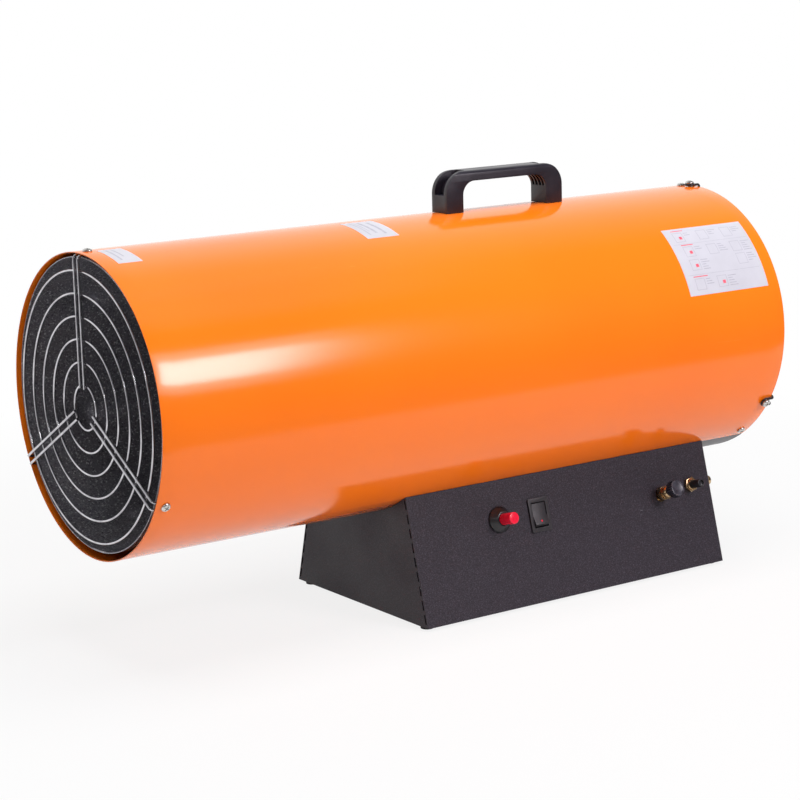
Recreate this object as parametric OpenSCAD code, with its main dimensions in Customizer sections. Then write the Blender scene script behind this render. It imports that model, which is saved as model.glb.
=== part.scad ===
// Gas forced air heater: a round casing with its outlet towards -X, on a folded sheet base.
// The origin is on the floor, under the middle of the casing. Millimetres, +Z up.

/* [Casing] */
// Outer diameter of the round casing
shell_d = 280; // [272:1:292]
// Length of the casing from outlet rim to inlet rim
shell_len = 727; // [710:1:760]
// Sheet thickness of the casing
shell_t = 1; // [0.8:0.1:1.2]
// Height of the casing's underside above the floor
casing_up = 100; // [94:1:108]

/* [Chamber] */
// Gap between the casing and the combustion tube
chamber_gap = 4.7; // [4.6:0.1:6]
// Sheet thickness of the combustion tube
chamber_t = 0.8; // [0.6:0.1:1]
// Length of the casing left for the fan behind the combustion tube
fan_room = 342; // [330:1:364]
// How far the combustion tube stands back from the outlet rim
chamber_setback = 3; // [2:0.5:4]
// How far the combustion tube sits above the casing's axis
chamber_lift = 1.5; // [0:0.1:1.5]
// Number of dimples in each ring of the combustion tube
dimple_count = 7; // [5:1:9]
// Diameter of a dimple where it leaves the tube's wall
dimple_d = 20; // [16:1:24]
// Set-back of the first ring of dimples from the outlet rim
dimple_setback = 65; // [55:1:80]
// Distance of the rear ring of dimples before the combustion tube's end
rear_dimple_setback = 135; // [125:1:150]

/* [Guards] */
// Diameter of the guards' spoke wire
wire_d = 2.6; // [2.2:0.1:2.7]
// Diameter of the guards' ring wire
ring_wire_d = 2.2; // [1.8:0.1:2.6]
// Distance between the casing's inner wall and the outermost guard ring
ring_margin = 15.4; // [14:0.1:18]
// Number of guard rings
ring_count = 6; // [5:1:6]
// Distance between the two wires of a spoke
spoke_gap = 8; // [7.6:0.1:9]

/* [Base] */
// Length of the base along the casing
base_len = 377; // [365:1:390]
// Width of the base at its foot
base_w = 227; // [215:1:240]
// Set-back of the base from the inlet rim
base_back = 60; // [50:1:70]
// Sheet thickness of the base
base_t = 1.2; // [1:0.1:1.5]
// Angle from straight down at which the side panels meet the casing
hug_angle = 35.2; // [34.8:0.1:38]
// Height of the feet under the base
foot_h = 3; // [2:0.5:5]
// Number of bend slots down each corner of the base
slot_count = 9; // [5:1:9]
// Length of a bend slot
slot_len = 9.4; // [7:0.1:11]
// Distance from one bend slot to the next
slot_step = 13.8; // [12:0.1:13.9]

/* [Handle] */
// Length of the handle over its posts
handle_len = 144; // [130:1:160]
// Width of the handle
handle_w = 24.6; // [22:0.1:28]
// Height of the handle above the casing
handle_h = 40; // [37:1:50]
// Thickness of the grip bar
handle_bar = 10.2; // [10:0.1:12]
// Length of a post along the casing
handle_post = 20.2; // [19:0.1:24]
// Set-back of the handle's middle from the inlet rim
handle_back = 259; // [250:1:270]

/* [Fan] */
// Diameter over the fan blades
fan_d = 248; // [230:1:254]
// Number of fan blades
blade_count = 5; // [4:1:6]
// Pitch angle of a blade
blade_angle = 30; // [24:1:34]
// Diameter of the motor's can
motor_d = 84; // [76:1:92]
// Diameter of the motor's shaft
shaft_d = 8; // [7:0.5:9]

/* [Burner] */
// Diameter of the burner cup
cup_d = 104; // [96:1:120]
// Depth of the burner cup
cup_len = 74; // [60:1:85]
// Outer diameter of the gas pipe
pipe_d = 8; // [6:0.5:9]
// Bend radius of the gas pipe
pipe_bend = 18; // [14:1:20]

/* [Controls] */
// Distance of the igniter behind the base's front
igniter_x = 104; // [90:1:110]
// Distance of the rocker switch behind the base's front
switch_x = 152.3; // [145:0.1:165]
// Distance of the regulator before the base's rear
regulator_x = 66.2; // [63:0.1:72]
// Distance of the safety valve before the base's rear
safety_x = 27; // [26:0.1:30]
// Height of the igniter along the sloping panel
igniter_up = 88.2; // [84:0.1:92]
// Height of the switch along the sloping panel
switch_up = 85.3; // [80:0.1:90]
// Height of the regulator along the sloping panel
regulator_up = 80.2; // [77:0.1:83]
// Height of the safety valve along the sloping panel
safety_up = 84.4; // [82:0.1:88]
// Diameter of the igniter's red button
igniter_button_d = 11.5; // [9:0.1:12]
// Width of the rocker switch's bezel
switch_w = 24.2; // [22.5:0.1:26]
// Height of the rocker switch's bezel
switch_h = 33.5; // [31.5:0.1:36]
// Diameter of the regulator's knob
knob_d = 17.6; // [16:0.1:20]
// Diameter of the safety valve's button
safety_button_d = 8.2; // [7:0.1:8.6]
// Diameter of the gas inlet's threaded end
inlet_d = 10; // [9.4:0.1:11]
// Diameter of the cable gland's bore
gland_bore_d = 7.8; // [7:0.1:9]

/* [Hidden] */
$fn = 96;

// Clearances shared by all pieces
seat = 0.3;      // between curved faces that seat on each other
kiss = 0.1;      // between a round screw or wire and the sheet it lies on
slip = 0.06;     // radial play of a turning or sliding fit
over = 2;        // overrun of every cut

// Casing
shell_r = shell_d / 2;
shell_ri = shell_r - shell_t;
axis_h = casing_up + shell_r;
quarter_turn = 90;
half_turn = 180;
full_turn = 360;
plate_angle = 33.5;      // half the underbody plate's arc
flange_angle = 38.5;     // half the arc out to the plate's joggled flange
joggle_angle = 0.6;      // arc of the step between plate and flange
plate_gap_angle = 0.15;  // arc of the gap between plate and casing
plate_t = 1.2;
wedge_share = 2;         // how far past its radius a wedge reaches
overlap_x = shell_len - base_back - base_len;

// Chamber
chamber_r = shell_ri - chamber_gap;
chamber_ri = chamber_r - chamber_t;
chamber_end = shell_len - fan_room;
chamber_len = chamber_end - chamber_setback;
dimple_turn = 35.6;      // polar angle of the first dimple
dimple_h = chamber_gap - chamber_lift - seat;
dimple_sphere_r = (dimple_d * dimple_d / 4 + dimple_h * dimple_h) / (2 * dimple_h);
lap_turn = -3;           // angle of the tube's lap seam from straight down
lap_half = 5;            // half the arc over which the lap overlaps

// Fasteners
screw_r = 2;
screw_hole_r = screw_r + seat;
screw_head_r = 4.5;
screw_head_h = 2.6;
screw_dome_share = 2.4;  // radius of the head's dome as a share of the head's radius
recess_w = 1.1;
recess_len = 5;
recess_h = 1.3;
nut_af = 7;
nut_h = 3.2;

// Guards
wire_r = wire_d / 2;
ring_wire_r = ring_wire_d / 2;
ring_step = (shell_ri - ring_margin) / ring_count;
weld = 0.3;              // how deep the spokes are pressed into the rings
hook_gap = 0.6;          // between a rear hook and the rim it goes over
guard_proud = hook_gap + wire_d;
spoke_x = wire_r - guard_proud;
ring_x = spoke_x + wire_r + ring_wire_r - weld;
front_leg_r = shell_ri - seat - wire_r;
rear_leg_r = shell_r + hook_gap + wire_r;
front_bend = 4;
rear_bend = wire_d;
front_turns = [90, -30, -150];
rear_turns = [92, -28, -148];
front_screw_setback = 10;
rear_screw_setback = 8;
spoke_overhang = 3;
earth_turn = 86.6;
underbody_screw_setback = 11;
underbody_screw_turn = 38.8;  // from straight down

// Base
base_front = overlap_x;
base_rear = base_front + base_len;
hug_y = shell_r * sin(hug_angle);
hug_z = axis_h - shell_r * cos(hug_angle);
panel_tilt = atan((base_w / 2 - hug_y) / (hug_z - foot_h));
panel_inset = base_t / cos(panel_tilt);
lip_w = 22;              // width of the flange round the base's foot
slot_w = 2;
slot_start = 9;
top_flange_from = 23;    // arc at which the base's top flanges end
base_screw_setback = 45;
base_screw_turn = 28;    // from straight down
floor_slot_w = 5;
floor_slot_len = 60;
floor_slot_step = 16;
floor_slot_count = 7;
foot_inset = 13;
foot_inset_x = 8;
foot_r = 6.5;
foot_stem_r = 3;
foot_head_r = 5;
foot_head_h = 2.4;

// Handle
handle_outer_r = 22;
handle_inner_r = 13.5;
handle_edge_r = 4;
handle_wall = 3;
handle_rib_t = 1.8;
handle_rib_step = 5.4;
handle_pocket = 4;
handle_slot_w = 15;
handle_slot_depth = 8;
handle_slot_up = 17.8;
handle_slot_reach = 26;
handle_x = shell_len - handle_back;
handle_screw_r = 2.5;
handle_screw_len = 14;
handle_screw_step = handle_len / 2 - handle_post / 2;
handle_head_r = 4.5;
handle_head_h = 2;
handle_sag = shell_r - sqrt(shell_r * shell_r - handle_w * handle_w / 4);
pocket_wall = 3;         // skin left between a handle screw's end and the slot above it

// Motor and fan, stationed forward from the inlet rim
shaft_r = shaft_d / 2;
bore_r = shaft_r + slip;
motor_plate_t = 2;
motor_plate_r = 58;
// the motor plate takes the place of the rear guard's inner rings
hidden_ring_count = ceil((motor_plate_r + ring_wire_r + seat) / ring_step) - 1;
motor_plate_x = shell_len + hook_gap - kiss - motor_plate_t;
motor_plate_bore = 15;
plate_slot_r = 4;
plate_slot_turns = [92, 212, 332];
motor_stud_r = 33;
motor_stud_turns = [32, 152, 272];
motor_screw_r = 2;
motor_screw_head_r = 3.6;
motor_screw_head_h = 2.2;
motor_screw_len = 12;
stud_boss_r = 5;
stud_boss_h = 20;
cap_h = 13;
cap_dome_h = 8;
cap_boss_r = 13;
can_len = 60;
can_rib_count = 24;
can_rib_w = 3;
can_rib_h = 1.6;
bearing_r = 9;
bearing_h = 8;
vent_count = 8;
vent_w = 5;
vent_from = 17;
vent_len = 16;
rear_cap_x = motor_plate_x - stud_boss_h - cap_h;
can_x = rear_cap_x - can_len;
front_cap_x = can_x - cap_h;
hub_r = 13;
hub_h = 18;
hub_gap = 4;
spider_r = 35;
spider_t = 1.6;
spider_x = front_cap_x - hub_gap - hub_h - spider_t;
fan_nut_af = 13;
fan_nut_h = 6;
shaft_end = 10;
shaft_tail = 6;
blade_t = 1.4;
blade_camber_r = 92;
blade_root = 26;
blade_root_half = 21;
blade_tip_half = 46;
blade_round_r = 57;
blade_round_at = 70;
blade_reach = fan_d / 2 + over;
blade_depth = 60;
fan_r = fan_d / 2;

// Burner, stationed back from the chamber's rear end
diffuser_t = 1;
diffuser_lip = 12;
diffuser_x = chamber_end - diffuser_lip - diffuser_t;
diffuser_r = chamber_ri - seat;
vane_count = 20;
vane_w = 4;
vane_from = 74;
vane_len = 34;
air_hole_r = 4;
air_hole_ring = 119;
air_hole_count = 24;
rivet_r = 2;
rivet_head_r = 3.6;
rivet_head_h = 1.1;
rivet_turns = [90, 210, 330];
cup_r = cup_d / 2;
cup_t = 1;
cup_flange = 10;
cup_hole_r = 3;
cup_hole_count = 16;
cup_row_step = 18;
cup_back_hole_r = 4;
cup_back_ring = 42;
cup_back_count = 12;
cup_back_x = diffuser_x + diffuser_t;
nozzle_hole_r = 5.5;
nozzle_r = 5;
nozzle_len = 22;
nozzle_tip = 7;
nozzle_tip_r = 2.6;
nozzle_jet_r = 0.8;
nozzle_af = 14;
nozzle_nut_h = 6;
strap_w = 26;
strap_t = 1.5;
strap_half = 40;
strap_bore_r = 9;
probe_off = 30;
holder_w = 20;
holder_len = 24;
holder_h = 12;
insulator_r = 3.5;
insulator_len = 52;
insulator_tail = 14;
insulator_collar_r = 5;
insulator_collar_h = 6;
electrode_r = 1;
electrode_out = 12;
electrode_bend_len = 14;
electrode_tail = 6;
probe_r = 2.25;
probe_len = 56;
probe_tail = 12;
probe_nut_af = 9;
probe_nut_h = 5;

// Gas line
pipe_r = pipe_d / 2;
riser_x = cup_back_x + cup_t + nozzle_nut_h + holder_len / 2;
valve_depth = 12;        // depth of the valves' centres behind the panel
valve_r = 10;
valve_back = 14;
boss_r = 7;
boss_out = 14;
boss_socket = 6;
link_r = 4;
regulator_lift = 9.6;    // how far the regulator's axis points up from the panel's normal
regulator_hole_r = 7.4;
regulator_neck_r = 5;
regulator_neck_out = 15;
regulator_nut_af = 13.5;
regulator_nut_h = 5;
regulator_nut_at = 1.6;
regulator_ring_af = 11.4;
regulator_ring_h = 2.6;
regulator_ring_gap = 1;
spindle_r = 2.5;
spindle_depth = 10;
knob_r = knob_d / 2;
knob_h = 9;
knob_at = 19;
knob_socket = 6;
flute_count = 22;
flute_r = 1;
knob_dish_r = 6.4;
knob_dish = 0.5;
knob_boss_r = 5.4;
knob_boss_h = 2.5;
safety_neck_r = 5.2;
safety_neck_out = 4.6;
safety_nut_af = 13.6;
safety_nut_h = 4;
safety_nut_turn = 15;
safety_button_r = safety_button_d / 2;
safety_button_out = 19;
safety_button_depth = 4;
safety_travel = 4;
safety_dish_r = 3.4;
safety_dish = 2.4;
union_r = 4.6;
union_af = 15;
union_nut_h = 4;
union_out = 9.8;
union_bore_r = 3;
riser_bend_x = 46;       // how far before the regulator the pipe turns inwards
pipe_nut_af = 13;
pipe_nut_h = 10;
pipe_nut_gap = 0.6;

// Controls
igniter_neck_r = 8;
igniter_body_r = 9.5;
igniter_body_len = 42;
bezel_r = 13;
bezel_top_r = 7.6;
bezel_h = 8.4;
bezel_rim = 1.6;
igniter_r = igniter_button_d / 2;
igniter_out = 24.8;
igniter_depth = 12;
igniter_travel = 6;
igniter_wall = 1;
switch_lip = 2;
switch_round = 1.5;
switch_body_w = 20.6;
switch_body_h = 28.5;
switch_body_d = 22;
rocker_w = 16.6;
rocker_half = 12.2;
rocker_gap = 0.35;
rocker_pivot = 3;
rocker_depth = 3;
rocker_end = 3.2;
rocker_dip = 1;
rocker_tilt = 10;
pocket_depth = 9;
pin_r = 1.3;
pin_out = 1;
tab_w = 6.3;
tab_t = 0.8;
tab_len = 8;
tab_step = 8;
gland_x = 20;
gland_up = 29;
gland_r = 9;
gland_neck_r = 6;
gland_flange_h = 4;
gland_out = 14;
gland_depth = 9;
gland_nut_af = 15;
gland_nut_h = 4;

// Small inner parts
grommet_r = 12;
grommet_bore_r = pipe_r + seat;
grommet_neck_r = 8.7;
grommet_hole_r = grommet_neck_r + seat;
grommet_lip = 1.6;
grommet_play = 0.8;
wire_hole_x = 70;        // distance of the wiring grommet behind the riser
wire_hole_r = 4;
thermo_x = 120;          // distance of the thermostat behind the riser
thermo_r = 8;
thermo_h = 6;
thermo_tab_h = 9;
thermo_up = 24;
thermo_plate_w = 22;
thermo_plate_t = 1.5;
thermo_foot = 16;
block_len = 60;
block_w = 22;
block_h = 16;
block_x = 30;
block_y = 20;
block_screw_r = 2.4;
block_screw_h = 3;
block_screw_up = 1.2;
block_slot_w = 0.8;
block_groove = 4;

// Places a child at a distance from the outlet rim
module at(x, y, z) {
    translate([x - shell_len / 2, y, z]) children();
}

// The same, with the child's Z axis along the casing's axis
module on_axis(x) {
    at(x, 0, axis_h) rotate([0, quarter_turn, 0]) children();
}

// Places a child on the casing's axis with its Z axis pointing outwards at a polar angle
module at_polar(x, a) {
    at(x, 0, axis_h) rotate([a - quarter_turn, 0, 0]) children();
}

// Places a child on the near panel's outer face, X along the base, Y up the panel, Z outwards
module on_near(x, up) {
    at(x, up * sin(panel_tilt) - base_w / 2, foot_h + up * cos(panel_tilt))
        rotate([quarter_turn - panel_tilt, 0, 0]) children();
}

module on_far(x, up) {
    mirror([0, 1, 0]) on_near(x, up) children();
}

// Places a child on the combustion tube's own axis
module on_tube(x) {
    on_line(x, 0, axis_h + chamber_lift) children();
}

// Places a child on any line along the casing
module on_line(x, y, z) {
    at(x, y, z) rotate([0, quarter_turn, 0]) children();
}

// A round cut right through a body of the given height
module bore(r, h) {
    translate([0, 0, -over]) cylinder(h = h + 2 * over, r = r);
}

module ring(r_out, r_in, h) {
    difference() {
        cylinder(h = h, r = r_out);
        bore(r_in, h);
    }
}

// A wedge about straight down, for use inside on_axis
module wedge(half, r, h) {
    far = r * wedge_share;
    linear_extrude(height = h)
        polygon([[0, 0], [far * cos(half), -far * sin(half)], [far * cos(half), far * sin(half)]]);
}

module hex(af, h) {
    cylinder(h = h, d = af / cos(quarter_turn / 3), $fn = 6);
}

module rounded_rect(w, h, r) {
    union() {
        square([w, h - 2 * r], center = true);
        square([w - 2 * r, h], center = true);
        for (sx = [-1, 1]) {
            for (sy = [-1, 1]) {
                translate([sx * (w / 2 - r), sy * (h / 2 - r)]) circle(r = r);
            }
        }
    }
}

// A shape with a flat foot and two rounded top corners
module gate(w, h, r) {
    union() {
        translate([-w / 2, 0]) square([w, h - r]);
        translate([r - w / 2, 0]) square([w - 2 * r, h]);
        for (side = [-1, 1]) {
            translate([side * (w / 2 - r), h - r]) circle(r = r);
        }
    }
}

// A pan-head screw with a cross recess, its seat at Z = 0 and its shank below
module pan_screw(shank, r = screw_r, head_r = screw_head_r, head_h = screw_head_h) {
    dome_r = head_r * screw_dome_share;
    difference() {
        intersection() {
            cylinder(h = head_h, r = head_r);
            translate([0, 0, head_h - dome_r]) sphere(r = dome_r);
        }
        for (turn = [0, quarter_turn]) {
            rotate([0, 0, turn])
                translate([-recess_len / 2, -recess_w / 2, head_h - recess_h])
                    cube([recess_len, recess_w, recess_h + over]);
        }
    }
    translate([0, 0, -shank]) cylinder(h = shank, r = r);
}

module hex_nut(af, h, bore) {
    difference() {
        hex(af, h);
        bore(bore, h);
    }
}

// Screw places, each with its Z axis pointing outwards
module front_places() {
    for (a = front_turns) {
        at_polar(front_screw_setback, a) children();
    }
}

module rear_places() {
    for (a = rear_turns) {
        at_polar(shell_len - rear_screw_setback, a) children();
    }
}

module underbody_places() {
    for (side = [-1, 1]) {
        at_polar(shell_len - underbody_screw_setback, side * underbody_screw_turn - quarter_turn) children();
    }
}

module base_places() {
    for (x = [base_front + base_screw_setback, base_rear - base_screw_setback]) {
        for (side = [-1, 1]) {
            at_polar(x, side * base_screw_turn - quarter_turn) children();
        }
    }
}

module handle_places() {
    for (side = [-1, 1]) {
        at_polar(handle_x + side * handle_screw_step, quarter_turn) children();
    }
}

module rivet_places() {
    for (a = rivet_turns) {
        at_polar(chamber_end - diffuser_lip / 2, a) children();
    }
}

module screw_hole() {
    cylinder(h = shell_r + over, r = screw_hole_r);
}

// Casing
module outer_shell() {
    color("darkorange")
        difference() {
            on_axis(0) ring(shell_r, shell_ri, shell_len);
            on_axis(overlap_x) wedge(plate_angle, shell_r, shell_len);
            front_places() screw_hole();
            rear_places() screw_hole();
            at_polar(shell_len - rear_screw_setback, earth_turn) screw_hole();
            underbody_places() screw_hole();
            handle_places() cylinder(h = shell_r + over, r = handle_screw_r + seat);
        }
}

module underbody_plate() {
    len = shell_len - overlap_x;
    flange_r = shell_ri - seat;
    color([0.27, 0.25, 0.28])
        difference() {
            union() {
                on_axis(overlap_x)
                    intersection() {
                        ring(shell_r, shell_r - plate_t, len);
                        wedge(plate_angle - plate_gap_angle, shell_r, len);
                    }
                for (side = [-1, 1]) {
                    on_axis(overlap_x)
                        rotate([0, 0, side * (plate_angle + flange_angle) / 2])
                            intersection() {
                                ring(flange_r, flange_r - plate_t, len);
                                wedge((flange_angle - plate_angle) / 2 + joggle_angle, shell_r, len);
                            }
                    on_axis(overlap_x)
                        rotate([0, 0, side * (plate_angle - plate_gap_angle - joggle_angle / 2)])
                            intersection() {
                                ring(shell_r, flange_r - plate_t, len);
                                wedge(joggle_angle / 2, shell_r, len);
                            }
                }
            }
            for (x = [riser_x, riser_x + wire_hole_x]) {
                at_polar(x, -quarter_turn) cylinder(h = shell_r + over, r = grommet_hole_r);
            }
            underbody_places() screw_hole();
            base_places() screw_hole();
        }
}

module underbody_screws() {
    color("silver")
        underbody_places()
            translate([0, 0, shell_r + kiss]) pan_screw(shell_t + plate_t + screw_head_h);
}

// Combustion tube with pressed dimples that bear on the casing
module chamber() {
    lap_len = diffuser_x - chamber_setback - seat;
    color([0.33, 0.33, 0.35])
        difference() {
            union() {
                on_tube(chamber_setback) ring(chamber_r, chamber_ri, chamber_len);
                on_tube(chamber_setback)
                        rotate([0, 0, lap_turn])
                            intersection() {
                                ring(chamber_ri + kiss, chamber_ri - chamber_t, lap_len);
                                wedge(lap_half, chamber_r, lap_len);
                            }
                dimple_places()
                    intersection() {
                        sphere(r = dimple_sphere_r);
                        translate([0, 0, dimple_sphere_r - dimple_h - chamber_t])
                            cylinder(h = dimple_h + over, r = dimple_d / 2);
                    }
            }
            dimple_places() sphere(r = dimple_sphere_r - chamber_t);
            front_places() cylinder(h = shell_r, r = screw_r + kiss);
            rivet_places() cylinder(h = shell_r, r = rivet_r + kiss);
        }
}

// Places a child at the centre of each dimple's sphere, with its Z axis pointing outwards
module dimple_places() {
    for (x = [dimple_setback, chamber_end - rear_dimple_setback]) {
        for (i = [0 : dimple_count - 1]) {
            translate([0, 0, chamber_lift])
                at_polar(x, dimple_turn + i * full_turn / dimple_count)
                    translate([0, 0, chamber_r + dimple_h - dimple_sphere_r]) children();
        }
    }
}

// Guards
// One spoke: a hairpin wire that runs out, bends back past the rim and turns round its screw
module spoke_legs(x, from_r, leg_r, bend) {
    for (side = [-1, 1]) {
        translate([x, side * spoke_gap / 2, from_r]) cylinder(h = leg_r - bend - from_r, r = wire_r);
    }
}

module front_hairpin(a) {
    at_polar(0, a) {
        spoke_legs(spoke_x, ring_step - spoke_overhang, front_leg_r, front_bend);
        for (side = [-1, 1]) {
            translate([spoke_x + front_bend, side * spoke_gap / 2, front_leg_r - front_bend])
                rotate([quarter_turn, 0, 0])
                    rotate([0, 0, quarter_turn])
                        rotate_extrude(angle = quarter_turn)
                            translate([front_bend, 0]) circle(r = wire_r);
            translate([spoke_x + front_bend, side * spoke_gap / 2, front_leg_r])
                rotate([0, quarter_turn, 0])
                    cylinder(h = front_screw_setback - spoke_x - front_bend, r = wire_r);
        }
        translate([front_screw_setback, 0, front_leg_r])
            rotate([0, 0, -quarter_turn])
                rotate_extrude(angle = half_turn)
                    translate([spoke_gap / 2, 0]) circle(r = wire_r);
    }
}

module rear_hairpin(a) {
    at_polar(shell_len, a) {
        spoke_legs(-spoke_x, motor_plate_r / 2, rear_leg_r, rear_bend);
        for (side = [-1, 1]) {
            translate([-spoke_x - rear_bend, side * spoke_gap / 2, rear_leg_r - rear_bend])
                rotate([quarter_turn, 0, 0])
                    rotate_extrude(angle = quarter_turn)
                        translate([rear_bend, 0]) circle(r = wire_r);
            translate([-rear_screw_setback, side * spoke_gap / 2, rear_leg_r])
                rotate([0, quarter_turn, 0])
                    cylinder(h = rear_screw_setback - spoke_x - rear_bend, r = wire_r);
        }
        translate([-rear_screw_setback, 0, rear_leg_r])
            rotate([0, 0, quarter_turn])
                rotate_extrude(angle = half_turn)
                    translate([spoke_gap / 2, 0]) circle(r = wire_r);
    }
}

module guard_ring(r) {
    rotate_extrude() translate([r, 0]) circle(r = ring_wire_r);
}

module front_guard() {
    color("silver")
        union() {
            for (k = [1 : ring_count]) {
                on_axis(ring_x) guard_ring(k * ring_step);
            }
            for (a = front_turns) {
                front_hairpin(a);
            }
        }
}

module front_guard_screws() {
    color("gainsboro")
        front_places() translate([0, 0, shell_r + kiss]) pan_screw(shell_r - chamber_ri + kiss);
}

module rear_guard() {
    color([0.2, 0.2, 0.21])
        union() {
            for (k = [hidden_ring_count + 1 : ring_count]) {
                on_axis(shell_len - ring_x) guard_ring(k * ring_step);
            }
            for (a = rear_turns) {
                rear_hairpin(a);
            }
        }
}

module rear_guard_screws() {
    head_at = rear_leg_r + wire_r + kiss;
    shank = head_at - shell_ri + nut_h + kiss;
    color("gainsboro")
        rear_places() {
            translate([0, 0, head_at]) pan_screw(shank);
            translate([0, 0, shell_ri - nut_h - seat]) hex_nut(nut_af, nut_h, screw_r + kiss);
        }
}

module earth_screw() {
    color("gainsboro")
        at_polar(shell_len - rear_screw_setback, earth_turn) {
            translate([0, 0, shell_r + kiss]) pan_screw(shell_t + nut_h + 2 * seat);
            translate([0, 0, shell_ri - nut_h - seat]) hex_nut(nut_af, nut_h, screw_r + kiss);
        }
}

// Motor
module motor_plate() {
    color([0.3, 0.3, 0.32])
        on_axis(motor_plate_x)
            difference() {
                cylinder(h = motor_plate_t, r = motor_plate_r);
                bore(motor_plate_bore, motor_plate_t);
                for (a = motor_stud_turns) {
                    rotate([0, 0, a])
                        translate([motor_stud_r, 0, 0]) bore(motor_screw_r + kiss, motor_plate_t);
                }
                for (a = plate_slot_turns) {
                    for (r = [motor_stud_r, motor_stud_r + 3 * plate_slot_r]) {
                        for (step = [-1, 1]) {
                            rotate([0, 0, a - quarter_turn + step * half_turn / 6])
                                translate([r, 0, 0]) bore(plate_slot_r, motor_plate_t);
                        }
                    }
                }
            }
}

module motor_screws() {
    color("silver")
        for (a = motor_stud_turns) {
            on_axis(motor_plate_x + motor_plate_t)
                rotate([0, 0, a])
                    translate([motor_stud_r, 0, 0])
                        pan_screw(motor_screw_len, motor_screw_r, motor_screw_head_r, motor_screw_head_h);
        }
}

module motor_can() {
    color([0.55, 0.56, 0.58])
        on_axis(can_x)
            difference() {
                cylinder(h = can_len, r = motor_d / 2);
                bore(bore_r + slip, can_len);
                for (i = [0 : can_rib_count - 1]) {
                    rotate([0, 0, i * full_turn / can_rib_count])
                        translate([motor_d / 2 - can_rib_h, -can_rib_w / 2, cap_h / 2])
                            cube([can_rib_h + over, can_rib_w, can_len - cap_h]);
                }
            }
}

// An end cap with its flat face at Z = 0 and its dome towards +Z
module end_cap() {
    difference() {
        union() {
            cylinder(h = cap_h - cap_dome_h, r = motor_d / 2);
            translate([0, 0, cap_h - cap_dome_h])
                cylinder(h = cap_dome_h, r1 = motor_d / 2 - can_rib_h, r2 = cap_boss_r * 2);
        }
        bore(bore_r + slip, cap_h);
        translate([0, 0, cap_h - bearing_h]) cylinder(h = bearing_h + over, r = bearing_r + kiss);
        for (i = [0 : vent_count - 1]) {
            rotate([0, 0, i * full_turn / vent_count])
                translate([vent_from, -vent_w / 2, cap_h - can_rib_h * 2])
                    cube([vent_len, vent_w, cap_h]);
        }
    }
}

module motor_front_cap() {
    color([0.62, 0.63, 0.65]) on_axis(can_x) mirror([0, 0, 1]) end_cap();
}

module motor_rear_cap() {
    color([0.62, 0.63, 0.65])
        on_axis(rear_cap_x)
            difference() {
                union() {
                    end_cap();
                    for (a = motor_stud_turns) {
                        rotate([0, 0, a])
                            translate([motor_stud_r, 0, cap_h - cap_dome_h])
                                cylinder(h = stud_boss_h + cap_dome_h, r = stud_boss_r);
                    }
                }
                for (a = motor_stud_turns) {
                    rotate([0, 0, a])
                        translate([motor_stud_r, 0, cap_h + stud_boss_h - motor_screw_len])
                            cylinder(h = motor_screw_len + over, r = motor_screw_r + kiss);
                }
            }
}

module motor_bearings() {
    color("goldenrod") {
        on_axis(front_cap_x) ring(bearing_r, bore_r, bearing_h - kiss);
        on_axis(rear_cap_x + cap_h - bearing_h + kiss) ring(bearing_r, bore_r, bearing_h - kiss);
    }
}

module motor_shaft() {
    len = rear_cap_x + cap_h + shaft_tail - spider_x + shaft_end;
    color("silver") on_axis(spider_x - shaft_end) cylinder(h = len, r = shaft_r);
}

// Fan
module fan_hub() {
    color([0.75, 0.76, 0.78])
        on_axis(spider_x + spider_t)
            difference() {
                cylinder(h = hub_h, r = hub_r);
                bore(bore_r, hub_h);
                translate([0, 0, hub_h / 2])
                    rotate([0, quarter_turn, 0]) cylinder(h = hub_r + over, r = screw_r);
            }
}

// One pressed blade: a curved sheet cut to the blade's outline and set at its pitch
module blade() {
    intersection() {
        rotate([blade_angle, 0, 0])
            intersection() {
                translate([0, 0, -blade_camber_r])
                    rotate([0, quarter_turn, 0])
                        ring(blade_camber_r + blade_t / 2, blade_camber_r - blade_t / 2, blade_reach);
                translate([0, 0, -blade_depth / 2])
                    linear_extrude(height = blade_depth)
                        intersection() {
                            polygon([
                                [blade_root, -blade_root_half],
                                [blade_reach, -blade_tip_half],
                                [blade_reach, blade_tip_half],
                                [blade_root, blade_root_half]
                            ]);
                            translate([blade_round_at, 0]) circle(r = blade_round_r);
                        }
            }
        translate([0, 0, -blade_depth]) cylinder(h = 2 * blade_depth, r = fan_r);
    }
}

module fan_blades() {
    color([0.72, 0.73, 0.75])
        on_axis(spider_x + spider_t / 2)
            difference() {
                union() {
                    translate([0, 0, -spider_t / 2]) cylinder(h = spider_t, r = spider_r);
                    for (i = [0 : blade_count - 1]) {
                        rotate([0, 0, i * full_turn / blade_count]) blade();
                    }
                }
                translate([0, 0, -over]) cylinder(h = 2 * over, r = bore_r);
            }
}

module fan_nut() {
    color("silver") on_axis(spider_x - fan_nut_h) hex_nut(fan_nut_af, fan_nut_h, bore_r);
}

// Burner
module diffuser_plate() {
    color([0.42, 0.42, 0.44])
        translate([0, 0, chamber_lift])
            difference() {
                union() {
                    on_axis(diffuser_x) cylinder(h = diffuser_t, r = diffuser_r);
                    on_axis(diffuser_x) ring(diffuser_r, diffuser_r - diffuser_t, diffuser_lip);
                }
                on_axis(diffuser_x) bore(cup_r + seat, diffuser_t);
                for (i = [0 : vane_count - 1]) {
                    on_axis(diffuser_x)
                        rotate([0, 0, i * full_turn / vane_count])
                            translate([vane_from, -vane_w / 2, -over])
                                cube([vane_len, vane_w, diffuser_t + 2 * over]);
                }
                for (i = [0 : air_hole_count - 1]) {
                    on_axis(diffuser_x)
                        rotate([0, 0, i * full_turn / air_hole_count])
                            translate([air_hole_ring, 0, 0]) bore(air_hole_r, diffuser_t);
                }
                translate([0, 0, -chamber_lift]) rivet_places() cylinder(h = shell_r, r = rivet_r + kiss);
            }
}

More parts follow.
